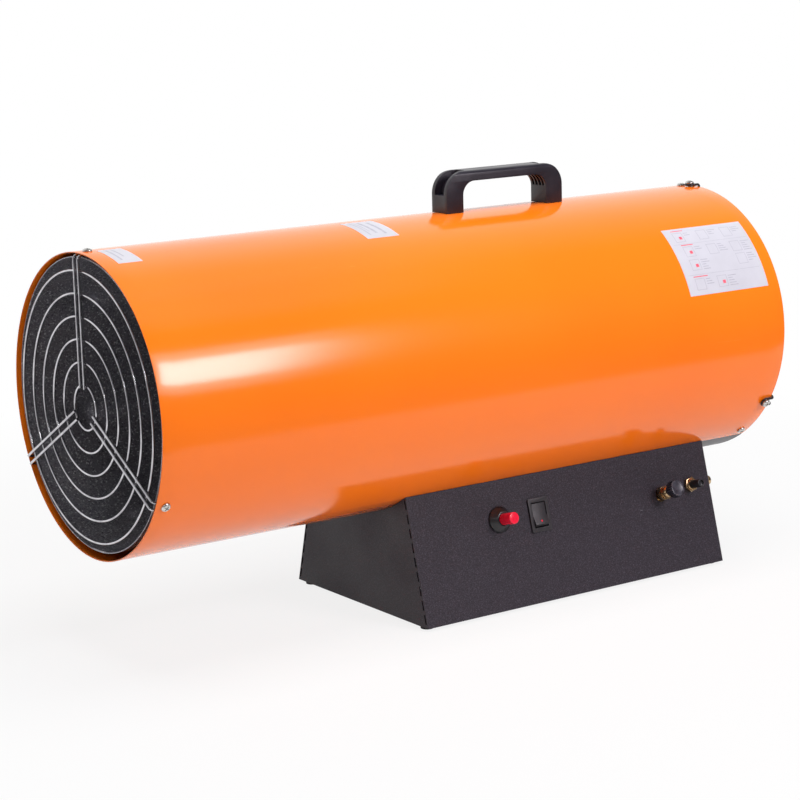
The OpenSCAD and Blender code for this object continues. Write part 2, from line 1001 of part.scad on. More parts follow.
module diffuser_rivets() {
    color("silver")
        for (a = rivet_turns) {
            // The lifted tube's wall lies a little further out where the rivet points up
            wall = chamber_r + chamber_lift * sin(a);
            at_polar(chamber_end - diffuser_lip / 2, a) {
                translate([0, 0, wall + kiss]) cylinder(h = rivet_head_h, r = rivet_head_r);
                translate([0, 0, wall - chamber_t - diffuser_t - 2 * seat])
                    cylinder(h = chamber_t + diffuser_t + 2 * seat + kiss, r = rivet_r);
            }
        }
}

module burner_cup() {
    color([0.4, 0.4, 0.42])
        translate([0, 0, chamber_lift])
            difference() {
                union() {
                    on_axis(cup_back_x - cup_len) ring(cup_r, cup_r - cup_t, cup_len);
                    on_axis(cup_back_x) cylinder(h = cup_t, r = cup_r + cup_flange);
                }
                for (row = [1, 2]) {
                    for (i = [0 : cup_hole_count - 1]) {
                        at_polar(cup_back_x - row * cup_row_step, (i + row / 2) * full_turn / cup_hole_count)
                            translate([0, 0, cup_r - 2 * over]) cylinder(h = 3 * over, r = cup_hole_r);
                    }
                }
                for (i = [0 : cup_back_count - 1]) {
                    on_axis(cup_back_x)
                        rotate([0, 0, (i + 1 / 2) * full_turn / cup_back_count])
                            translate([cup_back_ring, 0, 0]) bore(cup_back_hole_r, cup_t);
                }
                on_axis(cup_back_x) bore(nozzle_hole_r, cup_t);
                for (side = [-1, 1]) {
                    on_axis(cup_back_x) translate([0, side * probe_off, 0]) bore(insulator_r + seat, cup_t);
                }
            }
}

module gas_nozzle() {
    color("goldenrod")
        translate([0, 0, chamber_lift])
            difference() {
                union() {
                    on_axis(cup_back_x + cup_t) hex(nozzle_af, nozzle_nut_h);
                    on_axis(cup_back_x + cup_t - nozzle_len) cylinder(h = nozzle_len, r = nozzle_r);
                    on_axis(cup_back_x + cup_t - nozzle_len - nozzle_tip)
                        cylinder(h = nozzle_tip, r1 = nozzle_tip_r, r2 = nozzle_r);
                }
                on_axis(cup_back_x + cup_t - nozzle_len - nozzle_tip - over)
                    cylinder(h = nozzle_len, r = nozzle_jet_r);
            }
}

module nozzle_holder() {
    color("darkgoldenrod")
        at(riser_x, 0, axis_h + chamber_lift)
            difference() {
                translate([-holder_len / 2, -holder_w / 2, -holder_h])
                    cube([holder_len, holder_w, 2 * holder_h]);
                translate([0, 0, -holder_h - over]) cylinder(h = boss_socket + over, r = pipe_r + kiss);
            }
}

module electrode_insulator() {
    color("white")
        on_tube(cup_back_x + cup_t + strap_t + insulator_tail - insulator_len)
                translate([0, -probe_off, 0])
                    difference() {
                        union() {
                            cylinder(h = insulator_len, r = insulator_r);
                            translate([0, 0, insulator_len - insulator_tail])
                                cylinder(h = insulator_collar_h, r = insulator_collar_r);
                        }
                        bore(electrode_r + kiss, insulator_len);
                    }
}

module electrode_rod() {
    len = insulator_len + electrode_out + electrode_tail;
    color("silver")
        on_tube(cup_back_x + cup_t + strap_t + insulator_tail + electrode_tail - len)
                translate([0, -probe_off, 0]) {
                    cylinder(h = len, r = electrode_r);
                    sphere(r = electrode_r);
                    rotate([-quarter_turn + blade_angle, 0, 0])
                        cylinder(h = electrode_bend_len, r = electrode_r);
                }
}

module thermocouple_probe() {
    color([0.7, 0.66, 0.6])
        on_tube(cup_back_x + cup_t + strap_t + probe_tail - probe_len)
                translate([0, probe_off, 0]) {
                    cylinder(h = probe_len, r = probe_r);
                    sphere(r = probe_r);
                    translate([0, 0, probe_len - probe_tail]) hex(probe_nut_af, probe_nut_h);
                }
}

module probe_bracket() {
    color([0.6, 0.6, 0.62])
        on_tube(cup_back_x + cup_t)
                difference() {
                    linear_extrude(height = strap_t)
                        rounded_rect(strap_w, 2 * strap_half, strap_w / 4);
                    bore(strap_bore_r, strap_t);
                    translate([0, -probe_off, 0]) bore(insulator_r + kiss, strap_t);
                    translate([0, probe_off, 0]) bore(probe_r + kiss, strap_t);
                }
}

module thermostat_bracket() {
    x = riser_x + thermo_x;
    foot_r_out = shell_r - plate_t - seat;
    color("silver")
        difference() {
            union() {
                intersection() {
                    on_axis(x) ring(foot_r_out, foot_r_out - thermo_plate_t, thermo_foot);
                    at(x, -thermo_plate_w / 2, axis_h - shell_r)
                        cube([thermo_foot, thermo_plate_w, shell_r]);
                }
                intersection() {
                    on_axis(x) cylinder(h = thermo_plate_t, r = foot_r_out);
                    at(x, -thermo_plate_w / 2, axis_h - shell_r)
                        cube([thermo_plate_t, thermo_plate_w, thermo_up * 2]);
                }
            }
            on_line(x - over, 0, axis_h - shell_r + thermo_up)
                cylinder(h = thermo_plate_t + 2 * over, r = thermo_r / 2);
        }
}

module overheat_thermostat() {
    x = riser_x + thermo_x;
    color([0.15, 0.15, 0.16])
        on_line(x + thermo_plate_t, 0, axis_h - shell_r + thermo_up) {
            cylinder(h = thermo_h, r = thermo_r);
            for (side = [-1, 1]) {
                translate([-tab_t / 2, side * thermo_r / 2 - tab_w / 4, thermo_h])
                    cube([tab_t, tab_w / 2, thermo_tab_h]);
            }
        }
}

// Gas line
regulator_tilt = panel_tilt + regulator_lift;
panel_x_regulator = base_rear - regulator_x;
panel_x_safety = base_rear - safety_x;
regulator_y = regulator_up * sin(panel_tilt) - base_w / 2 + valve_depth * cos(regulator_tilt);
regulator_z = foot_h + regulator_up * cos(panel_tilt) - valve_depth * sin(regulator_tilt);
safety_y = safety_up * sin(panel_tilt) - base_w / 2 + valve_depth * cos(panel_tilt);
safety_z = foot_h + safety_up * cos(panel_tilt) - valve_depth * sin(panel_tilt);
link_y = (regulator_y + safety_y) / 2;
link_z = (regulator_z + safety_z) / 2;

// Places a child on the regulator's own axis, at the panel
module on_regulator() {
    on_near(panel_x_regulator, regulator_up) rotate([-regulator_lift, 0, 0]) children();
}

module elbow() {
    rotate_extrude(angle = quarter_turn) translate([pipe_bend, 0]) circle(r = pipe_r);
}

module gas_pipe() {
    start_x = panel_x_regulator - boss_out - pipe_nut_gap;
    turn_x = panel_x_regulator - riser_bend_x;
    top_z = axis_h + chamber_lift - holder_h + boss_socket - kiss;
    color([0.78, 0.47, 0.3])
        union() {
            on_line(turn_x + pipe_bend, regulator_y, regulator_z)
                cylinder(h = start_x + pipe_nut_gap + boss_socket - kiss - turn_x - pipe_bend, r = pipe_r);
            at(turn_x + pipe_bend, regulator_y + pipe_bend, regulator_z)
                rotate([0, 0, half_turn]) elbow();
            at(turn_x, regulator_y + pipe_bend, regulator_z)
                rotate([-quarter_turn, 0, 0]) cylinder(h = -regulator_y - 2 * pipe_bend, r = pipe_r);
            at(turn_x - pipe_bend, -pipe_bend, regulator_z) elbow();
            on_line(riser_x + pipe_bend, 0, regulator_z)
                cylinder(h = turn_x - riser_x - 2 * pipe_bend, r = pipe_r);
            at(riser_x + pipe_bend, 0, regulator_z + pipe_bend)
                rotate([quarter_turn, 0, 0])
                    rotate([0, 0, half_turn]) elbow();
            at(riser_x, 0, regulator_z + pipe_bend)
                cylinder(h = top_z - regulator_z - pipe_bend, r = pipe_r);
        }
}

module pipe_nuts() {
    color("goldenrod") {
        on_line(panel_x_regulator - boss_out - pipe_nut_gap - pipe_nut_h, regulator_y, regulator_z)
            hex_nut(pipe_nut_af, pipe_nut_h, pipe_r + kiss);
        at(riser_x, 0, axis_h + chamber_lift - holder_h - pipe_nut_gap - pipe_nut_h)
            hex_nut(pipe_nut_af, pipe_nut_h, pipe_r + kiss);
    }
}

module grommet(x, bore) {
    half = plate_t / 2 + grommet_play;
    at_polar(x, -quarter_turn)
        translate([0, 0, shell_r - plate_t / 2])
            difference() {
                union() {
                    translate([0, 0, -half]) cylinder(h = 2 * half, r = grommet_neck_r);
                    translate([0, 0, half]) cylinder(h = grommet_lip, r = grommet_r);
                    translate([0, 0, -half - grommet_lip]) cylinder(h = grommet_lip, r = grommet_r);
                }
                translate([0, 0, -half - grommet_lip - over])
                    cylinder(h = 2 * (half + grommet_lip + over), r = bore);
            }
}

module grommets() {
    color([0.12, 0.12, 0.12]) {
        grommet(riser_x, grommet_bore_r);
        grommet(riser_x + wire_hole_x, wire_hole_r);
    }
}

// Base
// The base's cross-section, drawn in Y and Z
module base_section(inset, foot) {
    half = base_w / 2 - inset;
    top = hug_z + over * wedge_share;
    lean = (top - foot_h) * tan(panel_tilt);
    polygon([
        [half - (foot - foot_h) * tan(panel_tilt), foot],
        [half - lean, top],
        [lean - half, top],
        [(foot - foot_h) * tan(panel_tilt) - half, foot]
    ]);
}

// Extrudes a Y-Z outline along X
module along_x(x, len) {
    at(x, 0, 0)
        rotate([quarter_turn, 0, quarter_turn])
            linear_extrude(height = len)
                children();
}

// Slots through the end panels beside their bends
module corner_slots() {
    for (x = [base_front, base_rear - base_t]) {
        for (i = [0 : slot_count - 1]) {
            on_near(x, slot_start + i * slot_step)
                translate([-over, -slot_len / 2, -base_t - slot_w])
                    cube([base_t + 2 * over, slot_len, slot_w]);
        }
    }
}

module base_housing() {
    color([0.26, 0.25, 0.27])
        difference() {
            union() {
                difference() {
                    along_x(base_front, base_len) base_section(0, foot_h);
                    along_x(base_front + base_t, base_len - 2 * base_t)
                        base_section(panel_inset, foot_h + base_t);
                    along_x(base_front + lip_w, base_len - 2 * lip_w)
                        base_section(lip_w, foot_h - over);
                    on_axis(base_front) bore(shell_r + seat, base_len);
                }
                for (side = [-1, 1]) {
                    on_axis(base_front + base_t)
                        rotate([0, 0, side * (hug_angle + top_flange_from) / 2])
                            intersection() {
                                ring(shell_r + seat + base_t, shell_r + seat, base_len - 2 * base_t);
                                wedge((hug_angle - top_flange_from) / 2 - joggle_angle, shell_r, base_len);
                            }
                }
            }
            corner_slots();
            mirror([0, 1, 0]) corner_slots();
            on_near(base_front + igniter_x, igniter_up)
                translate([0, 0, -2 * over]) cylinder(h = 3 * over, r = igniter_neck_r + seat);
            on_near(base_front + switch_x, switch_up)
                translate([0, 0, -2 * over])
                    linear_extrude(height = 3 * over)
                        square([switch_body_w + 2 * seat, switch_body_h + 2 * seat], center = true);
            on_regulator() translate([0, 0, -2 * over]) cylinder(h = 3 * over, r = regulator_hole_r);
            on_near(panel_x_safety, safety_up)
                translate([0, 0, -2 * over]) cylinder(h = 3 * over, r = safety_neck_r + seat);
            on_line(base_rear - 2 * over, safety_y, safety_z)
                cylinder(h = 3 * over, r = union_r + seat);
            on_far(base_front + gland_x, gland_up)
                translate([0, 0, -2 * over]) cylinder(h = 3 * over, r = gland_neck_r + seat);
            base_places() cylinder(h = shell_r + 2 * over, r = screw_r + kiss);
            foot_places() translate([0, 0, -over]) cylinder(h = foot_h + over, r = foot_stem_r + kiss);
        }
}

// Places a child under each corner of the base, at the height of the base's lower face
module foot_places() {
    for (x = [base_front + foot_inset_x, base_rear - foot_inset_x]) {
        for (side = [-1, 1]) {
            at(x, side * (base_w / 2 - foot_inset), foot_h) children();
        }
    }
}

module base_floor() {
    floor_half = base_w / 2 - panel_inset - seat - 2 * base_t * tan(panel_tilt);
    floor_len = base_len - 2 * base_t - 2 * seat;
    slots_y = floor_slot_step * (floor_slot_count - 1) / 2;
    color([0.3, 0.3, 0.31])
        difference() {
            at(base_front + base_t + seat, -floor_half, foot_h + base_t)
                cube([floor_len, 2 * floor_half, base_t]);
            for (bank = [-1, 1]) {
                for (i = [0 : floor_slot_count - 1]) {
                    translate([
                        base_front + base_len / 2 - shell_len / 2 + bank * base_len / 4 - floor_slot_len / 2,
                        i * floor_slot_step - slots_y - floor_slot_w / 2,
                        foot_h
                    ])
                        cube([floor_slot_len, floor_slot_w, foot_h + base_t]);
                }
            }
            foot_places() cylinder(h = foot_h + base_t, r = foot_stem_r + kiss);
        }
}

module base_screws() {
    color("silver")
        base_places()
            translate([0, 0, shell_r - plate_t - seat])
                mirror([0, 0, 1]) pan_screw(plate_t + 2 * seat + base_t + screw_head_h);
}

module feet() {
    color([0.1, 0.1, 0.1])
        foot_places() {
            translate([0, 0, -foot_h]) cylinder(h = foot_h, r = foot_r);
            cylinder(h = 2 * base_t, r = foot_stem_r);
            translate([0, 0, 2 * base_t]) cylinder(h = foot_head_h, r1 = foot_head_r, r2 = foot_stem_r);
        }
}

// Igniter
module igniter_body() {
    color([0.12, 0.12, 0.13])
        on_near(base_front + igniter_x, igniter_up)
            difference() {
                union() {
                    translate([0, 0, -base_t - igniter_body_len])
                        cylinder(h = igniter_body_len, r = igniter_body_r);
                    translate([0, 0, -base_t]) cylinder(h = base_t + bezel_h / 2, r = igniter_neck_r);
                }
                translate([0, 0, -igniter_depth - igniter_travel - igniter_wall])
                    cylinder(h = igniter_depth + igniter_travel + bezel_h, r = igniter_r + slip);
            }
}

module igniter_bezel() {
    color([0.08, 0.08, 0.09])
        on_near(base_front + igniter_x, igniter_up)
            difference() {
                union() {
                    cylinder(h = bezel_rim, r = bezel_r);
                    translate([0, 0, bezel_rim])
                        cylinder(h = bezel_h - bezel_rim, r1 = bezel_r, r2 = bezel_top_r);
                }
                translate([0, 0, -over]) cylinder(h = bezel_h / 2 + over + kiss, r = igniter_neck_r + kiss);
                cylinder(h = bezel_h + over, r = igniter_r + slip);
            }
}

module igniter_button() {
    color("crimson")
        on_near(base_front + igniter_x, igniter_up)
            translate([0, 0, -igniter_depth]) cylinder(h = igniter_depth + igniter_out, r = igniter_r);
}

// Rocker switch
module switch_housing() {
    color([0.1, 0.1, 0.1])
        on_near(base_front + switch_x, switch_up)
            difference() {
                union() {
                    linear_extrude(height = switch_lip) rounded_rect(switch_w, switch_h, switch_round);
                    translate([0, 0, -switch_body_d])
                        linear_extrude(height = switch_body_d)
                            square([switch_body_w, switch_body_h], center = true);
                }
                translate([0, 0, -pocket_depth])
                    linear_extrude(height = pocket_depth + switch_lip + over)
                        square([rocker_w + 2 * rocker_gap, 2 * (rocker_half + rocker_gap)], center = true);
                translate([-rocker_w / 2 - pin_out - rocker_gap, 0, -rocker_pivot])
                    rotate([0, quarter_turn, 0])
                        cylinder(h = rocker_w + 2 * (pin_out + rocker_gap), r = pin_r + slip);
            }
}

module switch_rocker() {
    color([0.13, 0.13, 0.13])
        on_near(base_front + switch_x, switch_up)
            translate([0, 0, -rocker_pivot])
                rotate([-rocker_tilt, 0, 0]) {
                    rotate([quarter_turn, 0, quarter_turn])
                        translate([0, 0, -rocker_w / 2])
                            linear_extrude(height = rocker_w)
                                intersection() {
                                    circle(r = rocker_half);
                                    polygon([
                                        [-rocker_half, -rocker_depth],
                                        [rocker_half, -rocker_depth],
                                        [rocker_half, rocker_pivot + rocker_end],
                                        [0, rocker_pivot + rocker_dip],
                                        [-rocker_half, rocker_pivot + rocker_end]
                                    ]);
                                }
                    translate([-rocker_w / 2 - pin_out, 0, 0])
                        rotate([0, quarter_turn, 0]) cylinder(h = rocker_w + 2 * pin_out, r = pin_r);
                }
}

module switch_terminals() {
    color("goldenrod")
        on_near(base_front + switch_x, switch_up)
            for (i = [-1, 0, 1]) {
                translate([-tab_w / 2, i * tab_step - tab_t / 2, -switch_body_d - tab_len])
                    cube([tab_w, tab_t, tab_len]);
            }
}

// Regulator
module regulator_body() {
    color("goldenrod")
        difference() {
            union() {
                on_regulator()
                    translate([0, 0, -valve_depth - valve_back])
                        cylinder(h = valve_depth + valve_back - 3 * base_t, r = valve_r);
                on_regulator()
                    translate([0, 0, -valve_depth])
                        cylinder(h = valve_depth + regulator_neck_out, r = regulator_neck_r);
                on_line(panel_x_regulator - boss_out, regulator_y, regulator_z)
                    cylinder(h = boss_out, r = boss_r);
                on_line(panel_x_regulator, link_y, link_z) cylinder(h = boss_out, r = boss_r);
            }
            on_regulator()
                translate([0, 0, -spindle_depth - kiss])
                    cylinder(h = spindle_depth + regulator_neck_out + over, r = spindle_r + slip);
            on_line(panel_x_regulator - boss_out - over, regulator_y, regulator_z)
                cylinder(h = boss_socket + over, r = pipe_r + kiss);
            on_line(panel_x_regulator + boss_out - boss_socket, link_y, link_z)
                cylinder(h = boss_socket + over, r = link_r + kiss);
        }
}

module regulator_nut() {
    color("darkgoldenrod")
        on_regulator() {
            translate([0, 0, regulator_nut_at])
                hex_nut(regulator_nut_af, regulator_nut_h, regulator_neck_r + kiss);
            translate([0, 0, regulator_nut_at + regulator_nut_h + regulator_ring_gap])
                hex_nut(regulator_ring_af, regulator_ring_h, regulator_neck_r + kiss);
        }
}

module regulator_spindle() {
    color("goldenrod")
        on_regulator()
            translate([0, 0, -spindle_depth])
                cylinder(h = spindle_depth + knob_at + knob_socket - kiss, r = spindle_r);
}

module regulator_knob() {
    color([0.16, 0.16, 0.17])
        on_regulator()
            translate([0, 0, knob_at])
                difference() {
                    union() {
                        cylinder(h = knob_h, r = knob_r);
                        translate([0, 0, -knob_boss_h]) cylinder(h = knob_boss_h, r = knob_boss_r);
                    }
                    for (i = [0 : flute_count - 1]) {
                        rotate([0, 0, i * full_turn / flute_count])
                            translate([knob_r, 0, 0]) bore(flute_r, knob_h);
                    }
                    translate([0, 0, knob_h - knob_dish]) cylinder(h = knob_dish + over, r = knob_dish_r);
                    translate([0, 0, -knob_boss_h - over])
                        cylinder(h = knob_socket + knob_boss_h + over, r = spindle_r + slip);
                }
}

// Flame failure valve
module safety_valve_body() {
    color("goldenrod")
        difference() {
            union() {
                on_near(panel_x_safety, safety_up) {
                    translate([0, 0, -valve_depth - valve_back])
                        cylinder(h = valve_depth + valve_back - base_t, r = valve_r);
                    translate([0, 0, -valve_depth])
                        cylinder(h = valve_depth + safety_neck_out, r = safety_neck_r);
                }
                on_line(panel_x_safety, safety_y, safety_z) cylinder(h = boss_out, r = boss_r);
                on_line(panel_x_safety - boss_out, link_y, link_z) cylinder(h = boss_out, r = boss_r);
            }
            on_near(panel_x_safety, safety_up)
                translate([0, 0, -safety_button_depth - safety_travel - kiss])
                    cylinder(h = safety_button_depth + safety_travel + safety_neck_out + over,
                        r = safety_button_r + slip);
            on_line(panel_x_safety + boss_out - boss_socket, safety_y, safety_z)
                cylinder(h = boss_socket + over, r = union_r + kiss);
            on_line(panel_x_safety - boss_out - over, link_y, link_z)
                cylinder(h = boss_socket + over, r = link_r + kiss);
        }
}

module safety_valve_nut() {
    color("gold")
        on_near(panel_x_safety, safety_up)
            rotate([0, 0, safety_nut_turn]) hex_nut(safety_nut_af, safety_nut_h, safety_neck_r + kiss);
}

module safety_valve_button() {
    color([0.1, 0.1, 0.1])
        on_near(panel_x_safety, safety_up)
            difference() {
                translate([0, 0, -safety_button_depth])
                    cylinder(h = safety_button_depth + safety_button_out, r = safety_button_r);
                translate([0, 0, safety_button_out - safety_dish])
                    cylinder(h = safety_dish + over, r = safety_dish_r);
            }
}

module inlet_union() {
    start = panel_x_safety + boss_out - boss_socket + kiss;
    color("gold")
        difference() {
            union() {
                on_line(start, safety_y, safety_z)
                    cylinder(h = base_rear - start + union_nut_h, r = union_r);
                on_line(base_rear, safety_y, safety_z) hex(union_af, union_nut_h);
                on_line(base_rear, safety_y, safety_z) cylinder(h = union_out, r = inlet_d / 2);
            }
            on_line(start - over, safety_y, safety_z)
                cylinder(h = base_rear - start + union_out + 2 * over, r = union_bore_r);
        }
}

module valve_link() {
    start = panel_x_regulator + boss_out - boss_socket + kiss;
    end = panel_x_safety - boss_out + boss_socket - kiss;
    color("goldenrod") on_line(start, link_y, link_z) cylinder(h = end - start, r = link_r);
}

// Wiring
module terminal_block() {
    color("ivory")
        at(base_front + block_x, block_y - block_w / 2, foot_h + 2 * base_t)
            difference() {
                cube([block_len, block_w, block_h]);
                for (i = [1 : 2]) {
                    translate([i * block_len / 3 - block_slot_w, -over, block_h - block_groove])
                        cube([2 * block_slot_w, block_w + 2 * over, block_groove + over]);
                }
                terminal_places()
                    translate([0, 0, block_h - block_screw_h])
                        cylinder(h = block_screw_h + over, r = block_screw_r + kiss);
            }
}

module terminal_places() {
    for (i = [0 : 2]) {
        for (side = [-1, 1]) {
            translate([(i + 1 / 2) * block_len / 3, block_w / 2 + side * block_w / 4, 0]) children();
        }
    }
}

module terminal_screws() {
    color("gold")
        at(base_front + block_x, block_y - block_w / 2, foot_h + 2 * base_t)
            terminal_places()
                translate([0, 0, block_h - block_screw_h])
                    difference() {
                        cylinder(h = block_screw_h - block_screw_up, r = block_screw_r);
                        translate([-block_screw_r, -block_slot_w / 2, block_screw_h - block_screw_up - block_slot_w])
                            cube([2 * block_screw_r, block_slot_w, over]);
                    }
}

module cable_gland() {
    color([0.1, 0.1, 0.1])
        on_far(base_front + gland_x, gland_up)
            difference() {
                union() {
                    hex(2 * gland_r * cos(quarter_turn / 3), gland_flange_h);
                    cylinder(h = gland_out, r1 = gland_r * cos(quarter_turn / 3), r2 = gland_neck_r);
                    translate([0, 0, -gland_depth]) cylinder(h = gland_depth, r = gland_neck_r);
                }
                translate([0, 0, -gland_depth - over])
                    cylinder(h = gland_depth + gland_out + 2 * over, d = gland_bore_d);
            }
}

module gland_nut() {
    color([0.12, 0.12, 0.12])
        on_far(base_front + gland_x, gland_up)
            translate([0, 0, -base_t - gland_nut_h])
                hex_nut(gland_nut_af, gland_nut_h, gland_neck_r + kiss);
}

// Handle
module handle_section(trim) {
    gate(handle_len - 2 * trim, handle_h + handle_sag - trim, handle_outer_r - trim);
}

module handle_gap(grow) {
    gate(handle_len - 2 * handle_post + 2 * grow, handle_h + handle_sag - handle_bar + grow,
        handle_inner_r + grow);
}

// Extrudes an X-Z outline along Y, centred on the handle
module across(w) {
    rotate([quarter_turn, 0, 0]) linear_extrude(height = w, center = true) children();
}

module handle() {
    color([0.14, 0.13, 0.15])
        difference() {
            at(handle_x, 0, axis_h + shell_r - handle_sag)
                difference() {
                    intersection() {
                        across(handle_w) handle_section(0);
                        rotate([quarter_turn, 0, quarter_turn])
                            linear_extrude(height = handle_len, center = true)
                                gate(handle_w, handle_h + handle_sag, handle_edge_r);
                    }
                    across(handle_w + over) handle_gap(0);
                    handle_pockets();
                    handle_slots();
                    for (side = [-1, 1]) {
                        translate([side * handle_screw_step, 0, 0])
                            cylinder(h = handle_slot_up - pocket_wall, r = handle_screw_r + kiss);
                    }
                }
            on_axis(0) cylinder(h = shell_len, r = shell_r + seat);
        }
}

// The hollow under the bar and in the inner corners, between stiffening ribs
module handle_pockets() {
    difference() {
        across(handle_w - 2 * handle_wall) handle_gap(handle_pocket);
        for (i = [-1, 0, 1]) {
            translate([0, i * handle_rib_step, 0]) across(handle_rib_t) handle_gap(handle_pocket + over);
        }
        handle_lower_part();
    }
}

module handle_lower_part() {
    translate([-handle_len, -handle_w, 0]) cube([2 * handle_len, 2 * handle_w, handle_slot_up]);
}

// The open slots over the outer corners
module handle_slots() {
    difference() {
        across(handle_slot_w) handle_section(-over);
        across(handle_slot_w + over) handle_section(handle_slot_depth);
        handle_lower_part();
        translate([handle_slot_reach - handle_len / 2, -handle_w, 0])
            cube([handle_len - 2 * handle_slot_reach, 2 * handle_w, 2 * handle_h]);
    }
}

module handle_screws() {
    shank = shell_t + seat + handle_screw_len;
    color("silver")
        handle_places()
            translate([0, 0, shell_ri - kiss])
                mirror([0, 0, 1]) {
                    cylinder(h = handle_head_h, r = handle_head_r);
                    translate([0, 0, -shank]) cylinder(h = shank, r = handle_screw_r);
                }
}

outer_shell();
underbody_plate();
underbody_screws();
chamber();
front_guard();
front_guard_screws();
rear_guard();
rear_guard_screws();
earth_screw();
motor_plate();
motor_screws();
motor_can();
motor_front_cap();
motor_rear_cap();
motor_bearings();
motor_shaft();
fan_hub();
fan_blades();
fan_nut();
diffuser_plate();
diffuser_rivets();
burner_cup();
gas_nozzle();
nozzle_holder();
electrode_insulator();
electrode_rod();
thermocouple_probe();
probe_bracket();
overheat_thermostat();
thermostat_bracket();
gas_pipe();
pipe_nuts();
grommets();
base_housing();
base_floor();
base_screws();
feet();
igniter_body();
igniter_bezel();
igniter_button();
switch_housing();
switch_rocker();
switch_terminals();
regulator_body();
regulator_nut();
regulator_spindle();
regulator_knob();
safety_valve_body();
safety_valve_nut();
safety_valve_button();
inlet_union();
valve_link();
terminal_block();
terminal_screws();
cable_gland();
gland_nut();
handle();
handle_screws();
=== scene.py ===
import math

import bmesh
import bpy
from mathutils import Matrix, Vector


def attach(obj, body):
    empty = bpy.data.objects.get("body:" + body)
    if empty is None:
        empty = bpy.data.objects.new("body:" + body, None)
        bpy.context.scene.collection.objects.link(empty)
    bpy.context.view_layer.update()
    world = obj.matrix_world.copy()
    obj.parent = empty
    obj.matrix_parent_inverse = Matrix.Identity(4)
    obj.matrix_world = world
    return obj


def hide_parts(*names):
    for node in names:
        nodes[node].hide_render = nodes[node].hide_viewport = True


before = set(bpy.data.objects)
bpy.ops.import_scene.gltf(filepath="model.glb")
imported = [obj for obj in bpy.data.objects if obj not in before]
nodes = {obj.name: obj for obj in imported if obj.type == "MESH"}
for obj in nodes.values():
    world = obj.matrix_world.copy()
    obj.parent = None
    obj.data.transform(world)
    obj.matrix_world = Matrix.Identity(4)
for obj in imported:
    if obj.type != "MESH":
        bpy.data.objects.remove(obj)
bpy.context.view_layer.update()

# Gas forced air heater. Everything is in metres, in the CAD frame: outlet towards -X,
# controls towards -Y, floor at Z = 0.
mm = 0.001

# the sizes that the CAD source uses, in metres
casing = {"length": 727 * mm, "radius": 140 * mm, "sheet": 1 * mm, "axisHeight": 240 * mm}
base = {"front": 290 * mm, "length": 377 * mm, "width": 227 * mm, "foot": 3 * mm,
        "hugAngle": 35.2}
base["rear"] = base["front"] + base["length"]
hugY = casing["radius"] * math.sin(math.radians(base["hugAngle"]))
hugZ = casing["axisHeight"] - casing["radius"] * math.cos(math.radians(base["hugAngle"]))
panelTilt = math.atan((base["width"] / 2 - hugY) / (hugZ - base["foot"]))


# helpers for nodes, colours and meshes

def toLinear(hexColour):
    # sRGB hex to the linear values that Blender counts in
    values = [int(hexColour[i:i + 2], 16) / 255 for i in (0, 2, 4)]
    return tuple(v / 12.92 if v <= 0.04045 else ((v + 0.055) / 1.055) ** 2.4
                 for v in values) + (1.0,)


def add(tree, kind, settings=None, links=None):
    # one node: settings are its options, its inputs' values or a ramp's stops
    node = tree.nodes.new(kind)
    for key, value in (settings or {}).items():
        if key == "stops":
            points = node.color_ramp.elements
            for k, (position, colour) in enumerate(value):
                point = points[k] if k < len(points) else points.new(position)
                point.position = position
                point.color = toLinear(colour)
        elif isinstance(key, str) and hasattr(node, key):
            setattr(node, key, value)
        else:
            node.inputs[key].default_value = value
    for key, source in (links or {}).items():
        tree.links.new(source, node.inputs[key])
    return node


def startMaterial(name):
    # an empty material, with its shader and the coordinates that its patterns are drawn in
    material = bpy.data.materials.new(name)
    material.use_nodes = True
    tree = material.node_tree
    tree.nodes.clear()
    shader = add(tree, "ShaderNodeBsdfPrincipled")
    add(tree, "ShaderNodeOutputMaterial", links={"Surface": shader.outputs[0]})
    spot = add(tree, "ShaderNodeTexCoord").outputs["Object"]
    return material, tree, shader, spot


def texture(tree, shader, uneven, span, rough, relief, strength, depth=0.1):
    # roughness that follows one pattern, and a fine relief that follows another
    spread = add(tree, "ShaderNodeMapRange",
                 {"From Min": span[0], "From Max": span[1], "To Min": rough[0],
                  "To Max": rough[1]}, {"Value": uneven.outputs[0]})
    tree.links.new(spread.outputs[0], shader.inputs["Roughness"])
    bump = add(tree, "ShaderNodeBump", {"Strength": strength, "Distance": depth * mm},
               {"Height": relief.outputs[0]})
    tree.links.new(bump.outputs[0], shader.inputs["Normal"])


def streaks(tree, spot, mark):
    # a pattern of long thin marks, given by its lengths in mm along three turned axes
    stretch = add(tree, "ShaderNodeMapping",
                  {"Scale": [1 / (length * mm) for length in mark["mm"]],
                   "Rotation": mark["turn"]}, {"Vector": spot})
    return add(tree, "ShaderNodeTexNoise",
               {"Scale": 1.0, "Detail": mark["detail"], "Distortion": mark["distortion"]},
               {"Vector": stretch.outputs[0]})


def marked(tree, shader, under, pattern, mark):
    # a second colour over the first where a pattern is strong
    mask = add(tree, "ShaderNodeMapRange",
               {"From Min": mark["from"], "From Max": mark["full"], "To Max": mark["most"]},
               {"Value": pattern.outputs[0]})
    mixed = add(tree, "ShaderNodeMix", {"data_type": "RGBA", 7: toLinear(mark["colour"])},
                {0: mask.outputs[0], 6: under.outputs[0]})
    tree.links.new(mixed.outputs[2], shader.inputs["Base Color"])


